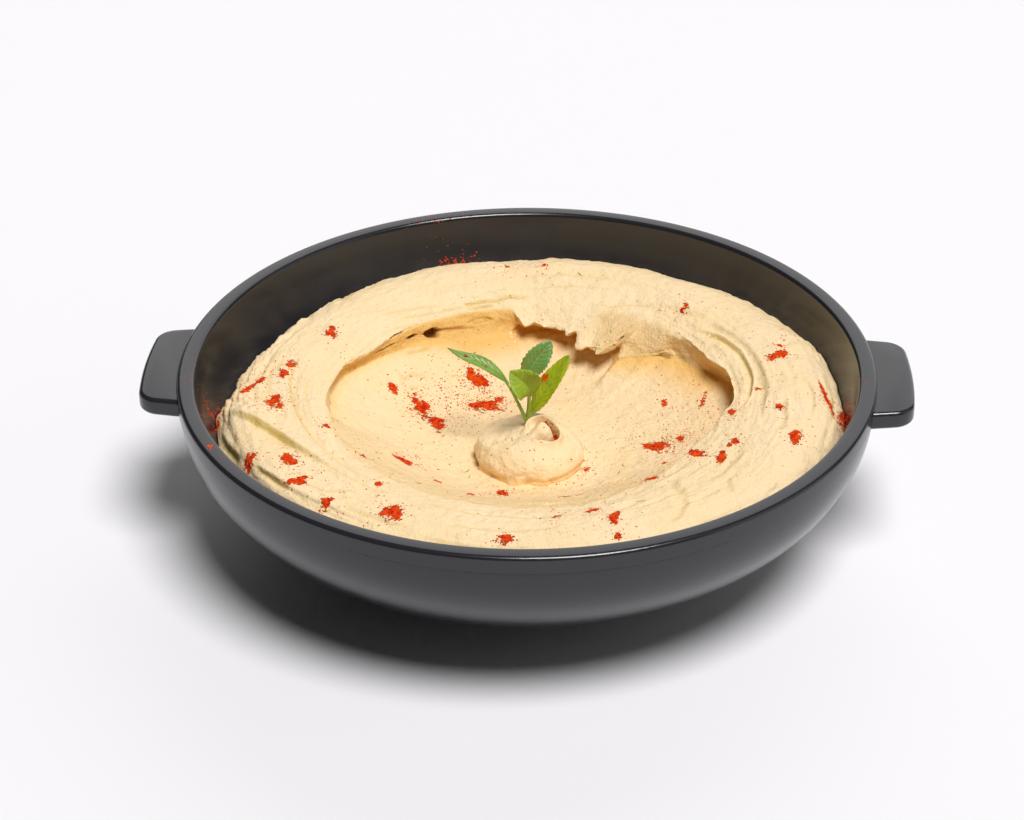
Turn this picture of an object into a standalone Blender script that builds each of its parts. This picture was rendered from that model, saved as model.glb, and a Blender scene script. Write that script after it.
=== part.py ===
# A round two-handled bowl filled with hummus.
# The hummus is swept into a ring around a well, and a dollop in the well holds a sprig of mint.
# Metres, +Z up. The bowl stands on z = 0 with its axis on Z and its two lug handles on the X axis.

import math

import bmesh
import bpy
from mathutils import Matrix, Vector

MM = 0.001

# Every turned piece has the same number of sides, so neighbours keep an even gap.
SIDES = 64
CLEARANCE = 0.3 * MM
SHARP_ANGLE = 40.0

# Bowl
BOWL_HEIGHT = 48.0 * MM
RIM_RADIUS = 90.3 * MM
RIM_WIDTH = 4.7 * MM
RIM_FILLET = 1.1 * MM
COLLAR_DEPTH = 4.8 * MM
COLLAR_STEP = 0.4 * MM
BODY_EXPONENT = 2.15
BODY_STEPS = 9
INNER_DEPTH = 43.5 * MM
INNER_EXPONENT = 2.2
FOOT_RADIUS = 48.0 * MM
FOOT_WIDTH = 4.0 * MM
FOOT_RECESS = 1.8 * MM
FOOT_EASE = 0.8 * MM
FOOT_TOP_ANGLE = 58.0

# Places down the inner wall, as angles of its superellipse from the rim to the bottom. The hummus
# follows the wall from the first of them that is always below its edge.
INNER_ANGLES = (8, 15, 22, 30, 42, 54, 66, 78, 90)
COVERED_FROM_ANGLE = 30

# Lug handles, one at each end of the X axis
LUG_ROOT_RADIUS = 87.6 * MM
LUG_END_RADIUS = 99.8 * MM
LUG_ROOT_HALF_WIDTH = 19.6 * MM
LUG_END_HALF_WIDTH = 18.0 * MM
LUG_END_SAG = 1.3 * MM
LUG_CORNER_RADIUS = 4.5 * MM
LUG_CORNER_STEPS = 4
LUG_CORNER_PULL = 0.6
LUG_CORNER_SAG = 0.45
LUG_ARC_SHARES = (0.6, 0.3)
LUG_TOP_BELOW_RIM = 2.0 * MM
LUG_THICKNESS = 4.8 * MM
LUG_EDGE_RADIUS = 1.1 * MM

# Guides around the hummus ring: pairs of an angle in degrees from +X and a size in millimetres.
# Depths are below the rim. The lip is the inner edge of the ring's top, and its shelter is how far
# the wall under it lies outside it, or inside it where the ring slopes into the well without a lip.
CONTACT_DEPTH = (
    (0, 13.4), (22, 12.4), (40, 13.2), (60, 14.6), (84, 15.0), (97, 16.4), (112, 15.2), (120, 17.0),
    (140, 19.0), (165, 18.6), (185, 16.0), (206, 16.6), (300, 15.5),
)
CONTACT_RISE = ((5, 4.6), (40, 3.4), (110, 3.2), (140, 4.2), (170, 7.0), (200, 7.0), (250, 4.0))
CREST_DEPTH = (
    (0, 6.2), (50, 5.9), (84, 6.2), (98, 7.4), (114, 6.9), (150, 7.2), (240, 8.0), (300, 7.8),
)
CREST_RADIUS = ((0, 69.0), (50, 66.0), (150, 66.0), (200, 68.0), (270, 67.0))
LIP_RADIUS = (
    (2, 53.8), (14, 54.0), (24, 51.4), (40, 51.6), (110, 46.7), (151, 47.4), (166, 50.8),
    (206, 54.0), (290, 54.0), (333, 49.2), (347, 51.0),
)
LIP_DEPTH = ((0, 9.4), (30, 9.1), (60, 9.7), (150, 9.6), (190, 9.2), (270, 9.6), (333, 9.8))
LIP_SHELTER = (
    (8, 3.6), (22, 3.4), (33, -0.8), (41, -3.0), (45, -7.5), (57, -13.0), (98, -3.0), (112, -5.0),
    (124, -3.0), (138, -1.4), (166, 0.0), (180, -1.2), (206, -10.0), (300, -10.0), (322, -3.2),
    (333, 1.0), (347, 3.2),
)
WALL_FOOT_DEPTH = (
    (10, 15.0), (42, 15.0), (56, 16.4), (112, 16.0), (160, 13.2), (206, 12.6), (270, 13.6),
    (333, 13.8),
)
WELL_DEPTH = 23.0 * MM
WELL_FLOOR_RADIUS = 23.0 * MM

# Pulls of the curves between those places, each as (outward, upward). Where the wall is sheltered
# the curve drops straight from the lip, and where it isn't it slopes in towards the well.
EDGE_PULL_IN = -3.0 * MM
CREST_OUTER_PULL = Vector((9.0, 0.2)) * MM
CREST_INNER_PULL = Vector((-6.0, 0.0)) * MM
LIP_UPPER_PULL = Vector((3.4, 0.9)) * MM
LIP_DROP_PULL = Vector((0.0, -2.4)) * MM
LIP_SLOPE_PULL = Vector((-3.2, -1.2)) * MM
FOOT_DROP_PULL = Vector((0.4, 2.2)) * MM
FOOT_SLOPE_PULL = Vector((3.4, 1.6)) * MM
DISH_UPPER_PULL = Vector((-6.0, -3.4)) * MM
DISH_FLOOR_PULL = Vector((8.0, 0.0)) * MM
SHELTER_RANGE = 4.0 * MM

# Torn flaps of the ring that droop over the well: first and last angle, then in millimetres the
# radius and depth of the torn edge, and the radius and depth of the cavity's end behind it
FLAPS = (
    (53, 74, 34.6, 13.6, 46.0, 16.4),
    (70, 98, 41.6, 12.2, 48.5, 15.6),
)
FLAP_FADE = 4.0

# Steps along the hummus profile
OUTER_STEPS = 5
SHOULDER_STEPS = 4
UNDERCUT_STEPS = 3
DISH_STEPS = 4
FLOOR_STEPS = 2

# A tongue of hummus along the left of the ring, with a crease on its inner side
TONGUE_NOSE_ANGLE = 188.0
TONGUE_ROOT_ANGLE = 213.0
TONGUE_END_ANGLE = 244.0
TONGUE_OUTER_RADIUS = 78.5 * MM
TONGUE_NOSE_RADIUS = 74.0 * MM
TONGUE_ROOT_RADIUS = 62.5 * MM
TONGUE_RISE = 2.4 * MM
TONGUE_EDGE = 3.4 * MM
TONGUE_NOSE_SHARE = 0.25
CREASE_DEPTH = 1.2 * MM
CREASE_WIDTH = 2.6 * MM

# A spoon groove that follows the lip along the right of the ring
GROOVE_START_ANGLE = 335.0
GROOVE_SWEEP = 70.0
GROOVE_RADIUS = 59.0 * MM
GROOVE_DEPTH = 1.1 * MM
GROOVE_WIDTH = 3.2 * MM
GROOVE_FADE_SHARE = 0.25

# Dollop, a squat heap whose top ends in a curl beside the mint
DOLLOP_CENTRE = Vector((1.2, -9.2)) * MM
DOLLOP_RADIUS = 14.4 * MM
DOLLOP_HEIGHT = 9.6 * MM
DOLLOP_SIDES = 32
DOLLOP_STEPS = 10
DOLLOP_BASE_INSET = 1.2 * MM
DOLLOP_EXPONENT = 2.3
DOLLOP_LEAN = 0.28
CURL_CENTRE = Vector((3.6, -2.0)) * MM
CURL_RADIUS = 3.0 * MM
CURL_WIDTH = 1.6 * MM
CURL_RISE = 3.2 * MM
CURL_HOLLOW = 1.1 * MM
CURL_OPEN_ANGLE = 215.0
CURL_FROM_HEIGHT = 0.5
SOCKET_CLEARANCE = 0.45 * MM

# Mint sprig. SPRIG_FOOT is where the stems meet, on the dollop. Each leaf has three places measured
# from there in millimetres, the bend of its stem, the blade's foot and the tip, then the blade's
# width, the way that its upper face looks, and its fold along the midrib as a part of the width.
SPRIG_FOOT = Vector((0.4, -6.6, 34.6)) * MM
STALK_RADIUS = 1.1 * MM
STALK_DEPTH = 5.0 * MM
STALK_RISE = 1.2 * MM
STALK_SIDES = 12
STEM_RADIUS = 0.6 * MM
STEM_START = Vector((0, 0, -0.6)) * MM
BLADE_THICKNESS = 0.7 * MM
BLADE_SIDES = 8
BLADE_ARCH = 0.15
BLADE_ARCH_AT = 0.66
BLADE_PULL = 0.3
BLADE_TAPER = 0.7
BLADE_THINNING = 0.5
STEM_BLEND = 0.2
STEM_STEPS = 4
BLADE_STEPS = 8

# A blade's width along it is a sine raised to BLADE_SHARPNESS, widest a little before the middle.
BLADE_SHARPNESS = 1.2
BLADE_FORWARD = 0.95
LEAVES = (
    ((-3.0, 0.8, 6.4), (-5.0, 1.6, 10.0), (-20.8, 6.2, 17.6), 5.2, (0.25, -0.55, 1.0), 0.10),
    ((0.8, 0.8, 5.0), (1.8, 2.4, 9.0), (7.4, 6.8, 20.2), 7.2, (0.0, -1.0, 0.40), 0.20),
    ((0.7, -0.8, 3.6), (1.4, -1.8, 6.4), (-4.0, -2.2, 16.4), 9.0, (0.45, -1.0, 0.35), 0.34),
    ((1.2, 0.2, 2.4), (2.2, 0.4, 4.4), (12.0, 4.4, 16.2), 5.2, (-0.35, -1.0, 0.55), 0.16),
)

# Principled BSDF values of each material: colour, then roughness
BLACK_MELAMINE = (0.018, 0.018, 0.019), 0.38
HUMMUS_CREAM = (0.83, 0.66, 0.40), 0.62
MINT_GREEN = (0.13, 0.32, 0.03), 0.45


# Shared tools

def clear_scene():
    for item in list(bpy.data.objects):
        bpy.data.objects.remove(item, do_unlink=True)


def make_material(name, values):
    colour, roughness = values
    material = bpy.data.materials.new(name)
    material.use_nodes = True
    shader = material.node_tree.nodes["Principled BSDF"]
    shader.inputs["Base Color"].default_value = (*colour, 1.0)
    shader.inputs["Roughness"].default_value = roughness
    shader.inputs["Metallic"].default_value = 0.0
    return material


def make_object(name, bm, material=None):
    bmesh.ops.recalc_face_normals(bm, faces=bm.faces)
    mesh = bpy.data.meshes.new(name)
    bm.to_mesh(mesh)
    bm.free()
    mesh.shade_smooth()
    mesh.set_sharp_from_angle(angle=math.radians(SHARP_ANGLE))
    item = bpy.data.objects.new(name, mesh)
    bpy.context.scene.collection.objects.link(item)
    if material:
        mesh.materials.append(material)
    return item


def add_boolean(item, name, bm, operation):
    operand = make_object(name, bm)
    operand.hide_render = True
    operand.display_type = "WIRE"
    modifier = item.modifiers.new(name, "BOOLEAN")
    modifier.object = operand
    modifier.operation = operation


def spun(profile, sides):
    # Turns a profile of (radius, height) points about Z, and numbers its rows in a vertex layer.
    bm = bmesh.new()
    row_layer = bm.verts.layers.int.new("row")
    verts = []
    for row, (radius, height) in enumerate(profile):
        vert = bm.verts.new((radius, 0.0, height))
        vert[row_layer] = row
        verts.append(vert)
    edges = [bm.edges.new(pair) for pair in zip(verts, verts[1:])]
    bmesh.ops.spin(bm, geom=verts + edges, cent=(0, 0, 0), axis=(0, 0, 1), dvec=(0, 0, 0),
                   angle=math.tau, steps=sides, use_merge=True)
    return bm, row_layer


def merge_poles(bm):
    bmesh.ops.remove_doubles(bm, verts=bm.verts, dist=0.001 * MM)


def smooth_step(value):
    value = min(max(value, 0.0), 1.0)
    return value * value * (3 - 2 * value)


def mix(start, end, share):
    return start + (end - start) * share


def guide(stations, degrees):
    # Reads a guide around the ring, in metres, easing from each station to the next.
    degrees %= 360
    wrapped = [(stations[-1][0] - 360, stations[-1][1]), *stations, (stations[0][0] + 360, stations[0][1])]
    for (before, low), (after, high) in zip(wrapped, wrapped[1:]):
        if degrees <= after:
            break
    return mix(low, high, smooth_step((degrees - before) / (after - before))) * MM


def bezier(start, first, second, end, steps):
    # Points along a cubic curve, leaving out its start.
    points = []
    for step in range(1, steps + 1):
        t = step / steps
        s = 1 - t
        points.append(s ** 3 * start + 3 * s * s * t * first + 3 * s * t * t * second + t ** 3 * end)
    return points


def superellipse(radius, depth, exponent, degrees):
    # A point of the curve that falls from (radius, 0) to (0, -depth).
    turn = math.radians(degrees)
    across = radius * max(math.cos(turn), 0.0) ** (2 / exponent)
    return Vector((across, -depth * math.sin(turn) ** (2 / exponent)))


def quarter_round(centre_radius, centre_height, radius, first_degrees):
    points = []
    for step in range(3):
        turn = math.radians(first_degrees + 45 * step)
        points.append((centre_radius + radius * math.cos(turn), centre_height + radius * math.sin(turn)))
    return points


# Bowl

def inner_wall(degrees, gap=0.0):
    point = superellipse(RIM_RADIUS - RIM_WIDTH - gap, INNER_DEPTH - gap, INNER_EXPONENT, degrees)
    return point + Vector((0, BOWL_HEIGHT))


def outer_body(degrees):
    body_depth = BOWL_HEIGHT - COLLAR_DEPTH
    point = superellipse(RIM_RADIUS - COLLAR_STEP, body_depth, BODY_EXPONENT, degrees)
    return point + Vector((0, body_depth))


def bowl_profile():
    points = [
        (0.0, FOOT_RECESS),
        (FOOT_RADIUS - FOOT_WIDTH - FOOT_EASE, FOOT_RECESS),
        (FOOT_RADIUS - FOOT_WIDTH, 0.0),
        (FOOT_RADIUS - FOOT_EASE, 0.0),
        (FOOT_RADIUS, FOOT_EASE),
    ]
    for step in range(BODY_STEPS, -1, -1):
        points.append(outer_body(FOOT_TOP_ANGLE * step / BODY_STEPS))
    points.append((RIM_RADIUS, BOWL_HEIGHT - COLLAR_DEPTH + COLLAR_STEP))
    fillet_height = BOWL_HEIGHT - RIM_FILLET
    points += quarter_round(RIM_RADIUS - RIM_FILLET, fillet_height, RIM_FILLET, 0)
    points += quarter_round(RIM_RADIUS - RIM_WIDTH + RIM_FILLET, fillet_height, RIM_FILLET, 90)
    points += [inner_wall(degrees) for degrees in INNER_ANGLES]
    return points


def lug_outline():
    # One lug in plan on the +X side: straight flanks, rounded corners and a shallow arc at the end.
    flank = Vector((LUG_END_RADIUS - LUG_ROOT_RADIUS, LUG_END_HALF_WIDTH - LUG_ROOT_HALF_WIDTH))
    corner = Vector((LUG_END_RADIUS - LUG_END_SAG, LUG_END_HALF_WIDTH))
    before = corner - flank.normalized() * LUG_CORNER_RADIUS
    after = corner + Vector((LUG_END_SAG * LUG_CORNER_SAG, -LUG_CORNER_RADIUS))
    leave = mix(before, corner, LUG_CORNER_PULL)
    arrive = mix(after, corner, LUG_CORNER_PULL)
    upper = [Vector((LUG_ROOT_RADIUS, LUG_ROOT_HALF_WIDTH)), before]
    upper += bezier(before, leave, arrive, after, LUG_CORNER_STEPS)
    for share in LUG_ARC_SHARES:
        sag = LUG_END_SAG * (1 - LUG_CORNER_SAG) * share ** 2
        upper.append(Vector((LUG_END_RADIUS - sag, after.y * share)))
    lower = [Vector((point.x, -point.y)) for point in reversed(upper)]
    return upper + [Vector((LUG_END_RADIUS, 0.0))] + lower


def build_lug(side):
    bm = bmesh.new()
    top = BOWL_HEIGHT - LUG_TOP_BELOW_RIM
    outline = [bm.verts.new((point.x, point.y, top - LUG_THICKNESS)) for point in lug_outline()]
    face = bm.faces.new(outline)
    grown = bmesh.ops.extrude_face_region(bm, geom=[face])["geom"]
    moved = [item for item in grown if isinstance(item, bmesh.types.BMVert)]
    bmesh.ops.translate(bm, verts=moved, vec=(0, 0, LUG_THICKNESS))
    root_edge = LUG_ROOT_RADIUS + LUG_EDGE_RADIUS
    rims = []
    for edge in bm.edges:
        level = abs(edge.verts[0].co.z - edge.verts[1].co.z) < MM
        if level and max(vert.co.x for vert in edge.verts) > root_edge:
            rims.append(edge)
    bmesh.ops.bevel(bm, geom=rims, offset=LUG_EDGE_RADIUS, segments=2, profile=0.5, affect="EDGES",
                    clamp_overlap=True)
    if side < 0:
        bmesh.ops.rotate(bm, verts=bm.verts, cent=(0, 0, 0), matrix=Matrix.Rotation(math.pi, 3, "Z"))
    return bm


def build_bowl(material):
    bm, _ = spun(bowl_profile(), SIDES)
    merge_poles(bm)
    bowl = make_object("bowl", bm, material)
    for name, side in (("lug_right", 1), ("lug_left", -1)):
        lug = build_lug(side)
        bmesh.ops.recalc_face_normals(lug, faces=lug.faces)
        add_boolean(bowl, name, lug, "UNION")


# Hummus

def contact_angle(depth):
    # The inner wall's superellipse angle at a depth below the rim.
    return math.degrees(math.asin((depth / (INNER_DEPTH - CLEARANCE)) ** (INNER_EXPONENT / 2)))


def flap_share(degrees, first, last):
    rise = smooth_step((degrees - first) / FLAP_FADE)
    return rise * smooth_step((last - degrees) / FLAP_FADE)


def ring_places(degrees):
    # The crest, the lip and the foot of the wall under the lip, as (radius, height).
    crest = Vector((guide(CREST_RADIUS, degrees), -guide(CREST_DEPTH, degrees)))
    lip = Vector((guide(LIP_RADIUS, degrees), -guide(LIP_DEPTH, degrees)))
    foot = Vector((lip.x + guide(LIP_SHELTER, degrees), -guide(WALL_FOOT_DEPTH, degrees)))
    for first, last, edge_radius, edge_depth, end_radius, end_depth in FLAPS:
        share = flap_share(degrees, first, last)
        lip = mix(lip, Vector((edge_radius, -edge_depth)) * MM, share)
        foot = mix(foot, Vector((end_radius, -end_depth)) * MM, share)
    rim = Vector((0, BOWL_HEIGHT))
    return crest + rim, lip + rim, foot + rim


def tongue_relief(degrees, radius):
    reach = (degrees - TONGUE_NOSE_ANGLE) / (TONGUE_ROOT_ANGLE - TONGUE_NOSE_ANGLE)
    crease = mix(TONGUE_NOSE_RADIUS, TONGUE_ROOT_RADIUS, min(max(reach, 0.0), 1.0))
    fade = smooth_step((TONGUE_END_ANGLE - degrees) / (TONGUE_END_ANGLE - TONGUE_ROOT_ANGLE))
    nose = smooth_step(reach / TONGUE_NOSE_SHARE + 0.5)
    inside = smooth_step((radius - crease) / TONGUE_EDGE)
    outside = smooth_step((TONGUE_OUTER_RADIUS - radius) / TONGUE_EDGE)
    dip = math.exp(-((radius - crease) / CREASE_WIDTH) ** 2)
    return fade * nose * (TONGUE_RISE * inside * outside - CREASE_DEPTH * dip)


def groove_relief(degrees, radius):
    along = ((degrees - GROOVE_START_ANGLE) % 360) / GROOVE_SWEEP
    fade = smooth_step(along / GROOVE_FADE_SHARE) * smooth_step((1 - along) / GROOVE_FADE_SHARE)
    return -GROOVE_DEPTH * fade * math.exp(-((radius - GROOVE_RADIUS) / GROOVE_WIDTH) ** 2)


def hummus_section(degrees):
    # Half of the hummus in section at one angle, from the bowl's centre up its wall and over the
    # ring down to the well's centre.
    contact = contact_angle(guide(CONTACT_DEPTH, degrees))
    covered = [angle for angle in reversed(INNER_ANGLES) if angle >= COVERED_FROM_ANGLE]
    lowest = [inner_wall(angle, CLEARANCE) for angle in covered]
    start = inner_wall(contact, CLEARANCE)
    crest, lip, foot = ring_places(degrees)
    shelter = smooth_step((foot.x - lip.x) / SHELTER_RANGE + 1)
    rise = Vector((EDGE_PULL_IN, guide(CONTACT_RISE, degrees)))
    outer = bezier(start, start + rise, crest + CREST_OUTER_PULL, crest, OUTER_STEPS)
    shoulder = bezier(crest, crest + CREST_INNER_PULL, lip + LIP_UPPER_PULL, lip, SHOULDER_STEPS)
    leave = mix(LIP_SLOPE_PULL, LIP_DROP_PULL, shelter)
    arrive = mix(FOOT_SLOPE_PULL, FOOT_DROP_PULL, shelter)
    undercut = bezier(lip, lip + leave, foot + arrive, foot, UNDERCUT_STEPS)
    floor_edge = Vector((WELL_FLOOR_RADIUS, BOWL_HEIGHT - WELL_DEPTH))
    dish = bezier(foot, foot + DISH_UPPER_PULL, floor_edge + DISH_FLOOR_PULL, floor_edge, DISH_STEPS)
    top = []
    for point in outer + shoulder:
        relief = tongue_relief(degrees % 360, point.x) + groove_relief(degrees, point.x)
        top.append(point + Vector((0, relief)))
    level = [floor_edge * Vector((1 - step / FLOOR_STEPS, 1)) for step in range(1, FLOOR_STEPS + 1)]
    return lowest + [start] + top + undercut + dish + level


def build_hummus(material):
    rows = len(hummus_section(0.0))
    bm, row_layer = spun([(1.0, float(row)) for row in range(rows)], SIDES)
    sections = {}
    for vert in bm.verts:
        turn = round(math.atan2(vert.co.y, vert.co.x) / math.tau * SIDES) % SIDES
        if turn not in sections:
            sections[turn] = hummus_section(360 * turn / SIDES)
        point = sections[turn][vert[row_layer]]
        angle = math.tau * turn / SIDES
        vert.co = Vector((point.x * math.cos(angle), point.x * math.sin(angle), point.y))
    merge_poles(bm)
    make_object("hummus", bm, material)


# Dollop

def curl_relief(place):
    # A C-shaped ridge around a small hollow, open on one side.
    offset = place - CURL_CENTRE
    turn = math.degrees(math.atan2(offset.y, offset.x)) - CURL_OPEN_ANGLE
    closed = smooth_step(abs((turn + 180) % 360 - 180) / 90)
    ridge = math.exp(-((offset.length - CURL_RADIUS) / CURL_WIDTH) ** 2)
    hollow = math.exp(-(offset.length / CURL_RADIUS) ** 2)
    return CURL_RISE * ridge * closed - CURL_HOLLOW * hollow


def build_dollop(material):
    base = BOWL_HEIGHT - WELL_DEPTH + CLEARANCE
    profile = [(0.0, 0.0), (DOLLOP_RADIUS - DOLLOP_BASE_INSET, 0.0)]
    for step in range(DOLLOP_STEPS + 1):
        point = superellipse(DOLLOP_RADIUS, DOLLOP_HEIGHT, DOLLOP_EXPONENT, 90 * step / DOLLOP_STEPS)
        profile.append((point.x, DOLLOP_BASE_INSET - point.y * (1 - DOLLOP_BASE_INSET / DOLLOP_HEIGHT)))
    bm, row_layer = spun(profile, DOLLOP_SIDES)
    for vert in bm.verts:
        place = Vector((vert.co.x, vert.co.y))
        vert.co.z *= 1 - DOLLOP_LEAN * max(place.x / DOLLOP_RADIUS, 0.0)
        if vert[row_layer] > 1:
            height_share = vert.co.z / DOLLOP_HEIGHT
            top_share = smooth_step((height_share - CURL_FROM_HEIGHT) / (1 - CURL_FROM_HEIGHT))
            vert.co.z += curl_relief(place) * top_share
        vert.co += Vector((*DOLLOP_CENTRE, base))
    merge_poles(bm)
    dollop = make_object("hummus_dollop", bm, material)
    socket = bmesh.new()
    radius = STALK_RADIUS + SOCKET_CLEARANCE
    middle = Matrix.Translation(SPRIG_FOOT - Vector((0, 0, CLEARANCE)))
    bmesh.ops.create_cone(socket, cap_ends=True, segments=STALK_SIDES, radius1=radius,
                          radius2=radius, depth=STALK_DEPTH * 2, matrix=middle)
    add_boolean(dollop, "sprig_socket", socket, "DIFFERENCE")


# Mint sprig

def leaf_spine(places, width, face):
    # A leaf's midrib, from the start of its stem through the blade's foot to the tip.
    bend, blade_foot, tip = (Vector(place) * MM for place in places)
    stem = bezier(STEM_START, mix(STEM_START, bend, 0.5), bend, blade_foot, STEM_STEPS)
    onward = (blade_foot - bend).normalized() * (tip - blade_foot).length * BLADE_PULL
    rise = Vector(face).normalized() * width * MM * BLADE_ARCH
    arch = mix(blade_foot, tip, BLADE_ARCH_AT) + rise
    blade = bezier(blade_foot, blade_foot + onward, arch, tip, BLADE_STEPS)
    return [STEM_START] + stem + blade


def blade_swelling(share):
    if share <= 0 or share >= 1:
        return 0.0
    return math.sin(math.pi * share ** BLADE_FORWARD) ** BLADE_SHARPNESS


def leaf_surface(places, width, face, fold):
    # A closed leaf swept along its midrib: a round stem that widens into a thin folded blade.
    spine = leaf_spine(places, width, face)
    bm = bmesh.new()
    rings = []
    for number, point in enumerate(spine):
        ahead = spine[min(number + 1, len(spine) - 1)] - spine[max(number - 1, 0)]
        across = ahead.cross(Vector(face)).normalized()
        up = across.cross(ahead).normalized()
        share = max(number - STEM_STEPS, 0) / BLADE_STEPS
        swelling = blade_swelling(share)
        half = max(width * MM / 2 * swelling, STEM_RADIUS * (1 - BLADE_TAPER * share))
        thick = mix(STEM_RADIUS, BLADE_THICKNESS / 2, smooth_step(share / STEM_BLEND))
        thick *= 1 - BLADE_THINNING * share
        ring = []
        for side in range(BLADE_SIDES):
            turn = math.tau * side / BLADE_SIDES
            out = half * math.cos(turn)
            lift = fold * swelling * abs(out) * 2 + thick * math.sin(turn)
            ring.append(bm.verts.new(point + across * out + up * lift))
        rings.append(ring)
    for ring, following in zip(rings, rings[1:]):
        for side in range(BLADE_SIDES):
            beside = (side + 1) % BLADE_SIDES
            bm.faces.new((ring[side], ring[beside], following[beside], following[side]))
    bm.faces.new(rings[0])
    bm.faces.new(rings[-1])
    bmesh.ops.recalc_face_normals(bm, faces=bm.faces)
    bmesh.ops.translate(bm, verts=bm.verts, vec=SPRIG_FOOT)
    return bm


def build_sprig(material):
    bm = bmesh.new()
    middle = Matrix.Translation(SPRIG_FOOT + Vector((0, 0, (STALK_RISE - STALK_DEPTH) / 2)))
    bmesh.ops.create_cone(bm, cap_ends=True, segments=STALK_SIDES, radius1=STALK_RADIUS,
                          radius2=STALK_RADIUS, depth=STALK_DEPTH + STALK_RISE, matrix=middle)
    sprig = make_object("mint_sprig", bm, material)
    for number, (*places, width, face, fold) in enumerate(LEAVES):
        leaf = leaf_surface(places, width, face, fold)
        add_boolean(sprig, f"leaf_{number}", leaf, "UNION")


def main():
    clear_scene()
    black = make_material("black_melamine", BLACK_MELAMINE)
    cream = make_material("hummus_cream", HUMMUS_CREAM)
    green = make_material("mint_green", MINT_GREEN)
    build_bowl(black)
    build_hummus(cream)
    build_dollop(cream)
    build_sprig(green)


main()
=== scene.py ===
import math
import random
from itertools import product

import bmesh
import bpy
import numpy as np
from mathutils import Matrix, Vector
from mathutils.bvhtree import BVHTree


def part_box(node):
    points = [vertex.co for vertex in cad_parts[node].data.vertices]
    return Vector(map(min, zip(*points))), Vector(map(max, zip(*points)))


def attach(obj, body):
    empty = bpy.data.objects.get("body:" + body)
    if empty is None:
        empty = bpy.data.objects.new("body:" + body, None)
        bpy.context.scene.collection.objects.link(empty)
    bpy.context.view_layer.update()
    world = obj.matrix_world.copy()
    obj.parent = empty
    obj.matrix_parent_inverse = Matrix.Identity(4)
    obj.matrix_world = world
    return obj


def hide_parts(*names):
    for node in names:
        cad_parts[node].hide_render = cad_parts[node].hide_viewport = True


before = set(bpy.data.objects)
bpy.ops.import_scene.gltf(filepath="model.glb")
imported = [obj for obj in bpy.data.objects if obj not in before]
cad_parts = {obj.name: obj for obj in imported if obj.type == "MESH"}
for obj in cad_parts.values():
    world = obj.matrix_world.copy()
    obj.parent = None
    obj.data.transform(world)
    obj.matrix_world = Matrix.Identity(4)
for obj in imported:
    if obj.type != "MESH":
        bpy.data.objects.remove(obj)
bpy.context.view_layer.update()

# Sizes are in millimetres and become metres where a vertex is placed. Angles are in degrees round
# the bowl from +X, and a plan is a place seen from above.
mm = 0.001
mergeDistance = 0.001 * mm
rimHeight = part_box("bowl")[1].z / mm
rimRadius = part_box("bowl")[1].y / mm
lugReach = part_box("bowl")[1].x / mm
surfaces = {}  # the large pieces, which loose bits settle on


# Numbers and curves

def smoothStep(value):
    value = np.clip(value, 0.0, 1.0)
    return value * value * (3 - 2 * value)


def between(start, end, share):
    return start + (end - start) * share


def within(value, first, rise, last, fall):
    # 1 from first to last, rising from 0 and falling back to it inside them
    return smoothStep((value - first) / rise) * smoothStep((last - value) / fall)


def bell(value, width):
    return np.exp(-(value / width) ** 2)


def readGuide(stations, degrees):
    # a size round the ring, easing from one station to the next
    spots = np.array(stations, float)
    spots = np.vstack((spots[-1] - (360, 0), spots, spots[0] + (360, 0)))
    degrees = np.mod(degrees, 360)
    after = np.clip(np.searchsorted(spots[:, 0], degrees), 1, len(spots) - 1)
    low, high = spots[after - 1], spots[after]
    share = smoothStep((degrees - low[..., 0]) / (high[..., 0] - low[..., 0]))
    return between(low[..., 1], high[..., 1], share)


def cubicCurve(start, first, second, end, steps):
    # points along a cubic curve, leaving out its start
    t = np.arange(1, steps + 1)[:, None] / steps
    s = 1 - t
    ends = [np.asarray(point)[..., None, :] for point in (start, first, second, end)]
    return s ** 3 * ends[0] + 3 * s * s * t * ends[1] + 3 * s * t * t * ends[2] + t ** 3 * ends[3]


def superCurve(radius, depth, power, degrees):
    # a place on the curve that falls from (radius, 0) to (0, -depth)
    turn = np.radians(degrees)
    across = radius * np.maximum(np.cos(turn), 0) ** (2 / power)
    return np.stack((across, -depth * np.sin(turn) ** (2 / power)), axis=-1)


def softNoise(places, size, seed):
    # smooth lumps of about this size, from -1 to 1
    table = np.random.default_rng(seed).uniform(-1, 1, 4096)
    places = places / size
    cells = np.floor(places).astype(np.int64)
    part = places - cells
    part = part * part * (3 - 2 * part)
    total = np.zeros(places.shape[:-1])
    for corner in product((0, 1), repeat=3):
        spot = cells + corner
        mixed = (spot[..., 0] * 73856093) ^ (spot[..., 1] * 19349663) ^ (spot[..., 2] * 83492791)
        weight = np.prod(np.where(corner, part, 1 - part), axis=-1)
        total += table[mixed & 4095] * weight
    return total


def mixedNoise(places, layers):
    # a sum of soft noises, each with its height, size and seed
    return sum(height * softNoise(places, size, seed) for height, size, seed in layers)


def polar(degrees, radius):
    turn = np.radians(degrees)
    return np.stack((radius * np.cos(turn), radius * np.sin(turn)), axis=-1)


def raised(plan, height):
    return np.concatenate((plan, height[..., None]), -1)


def unit(vectors, least=1e-6):
    return vectors / np.maximum(np.linalg.norm(vectors, axis=-1, keepdims=True), least)


# Meshes

def meshFrom(bm, name):
    mesh = bpy.data.meshes.new(name)
    bm.to_mesh(mesh)
    bm.free()
    return mesh


def thicken(bm, verts, thickness):
    faces = list(dict.fromkeys(face for vert in verts for face in vert.link_faces))
    bmesh.ops.solidify(bm, geom=faces, thickness=thickness * mm)


def addObject(name, data):
    item = bpy.data.objects.new(name, data)
    bpy.context.scene.collection.objects.link(item)
    return item


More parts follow.
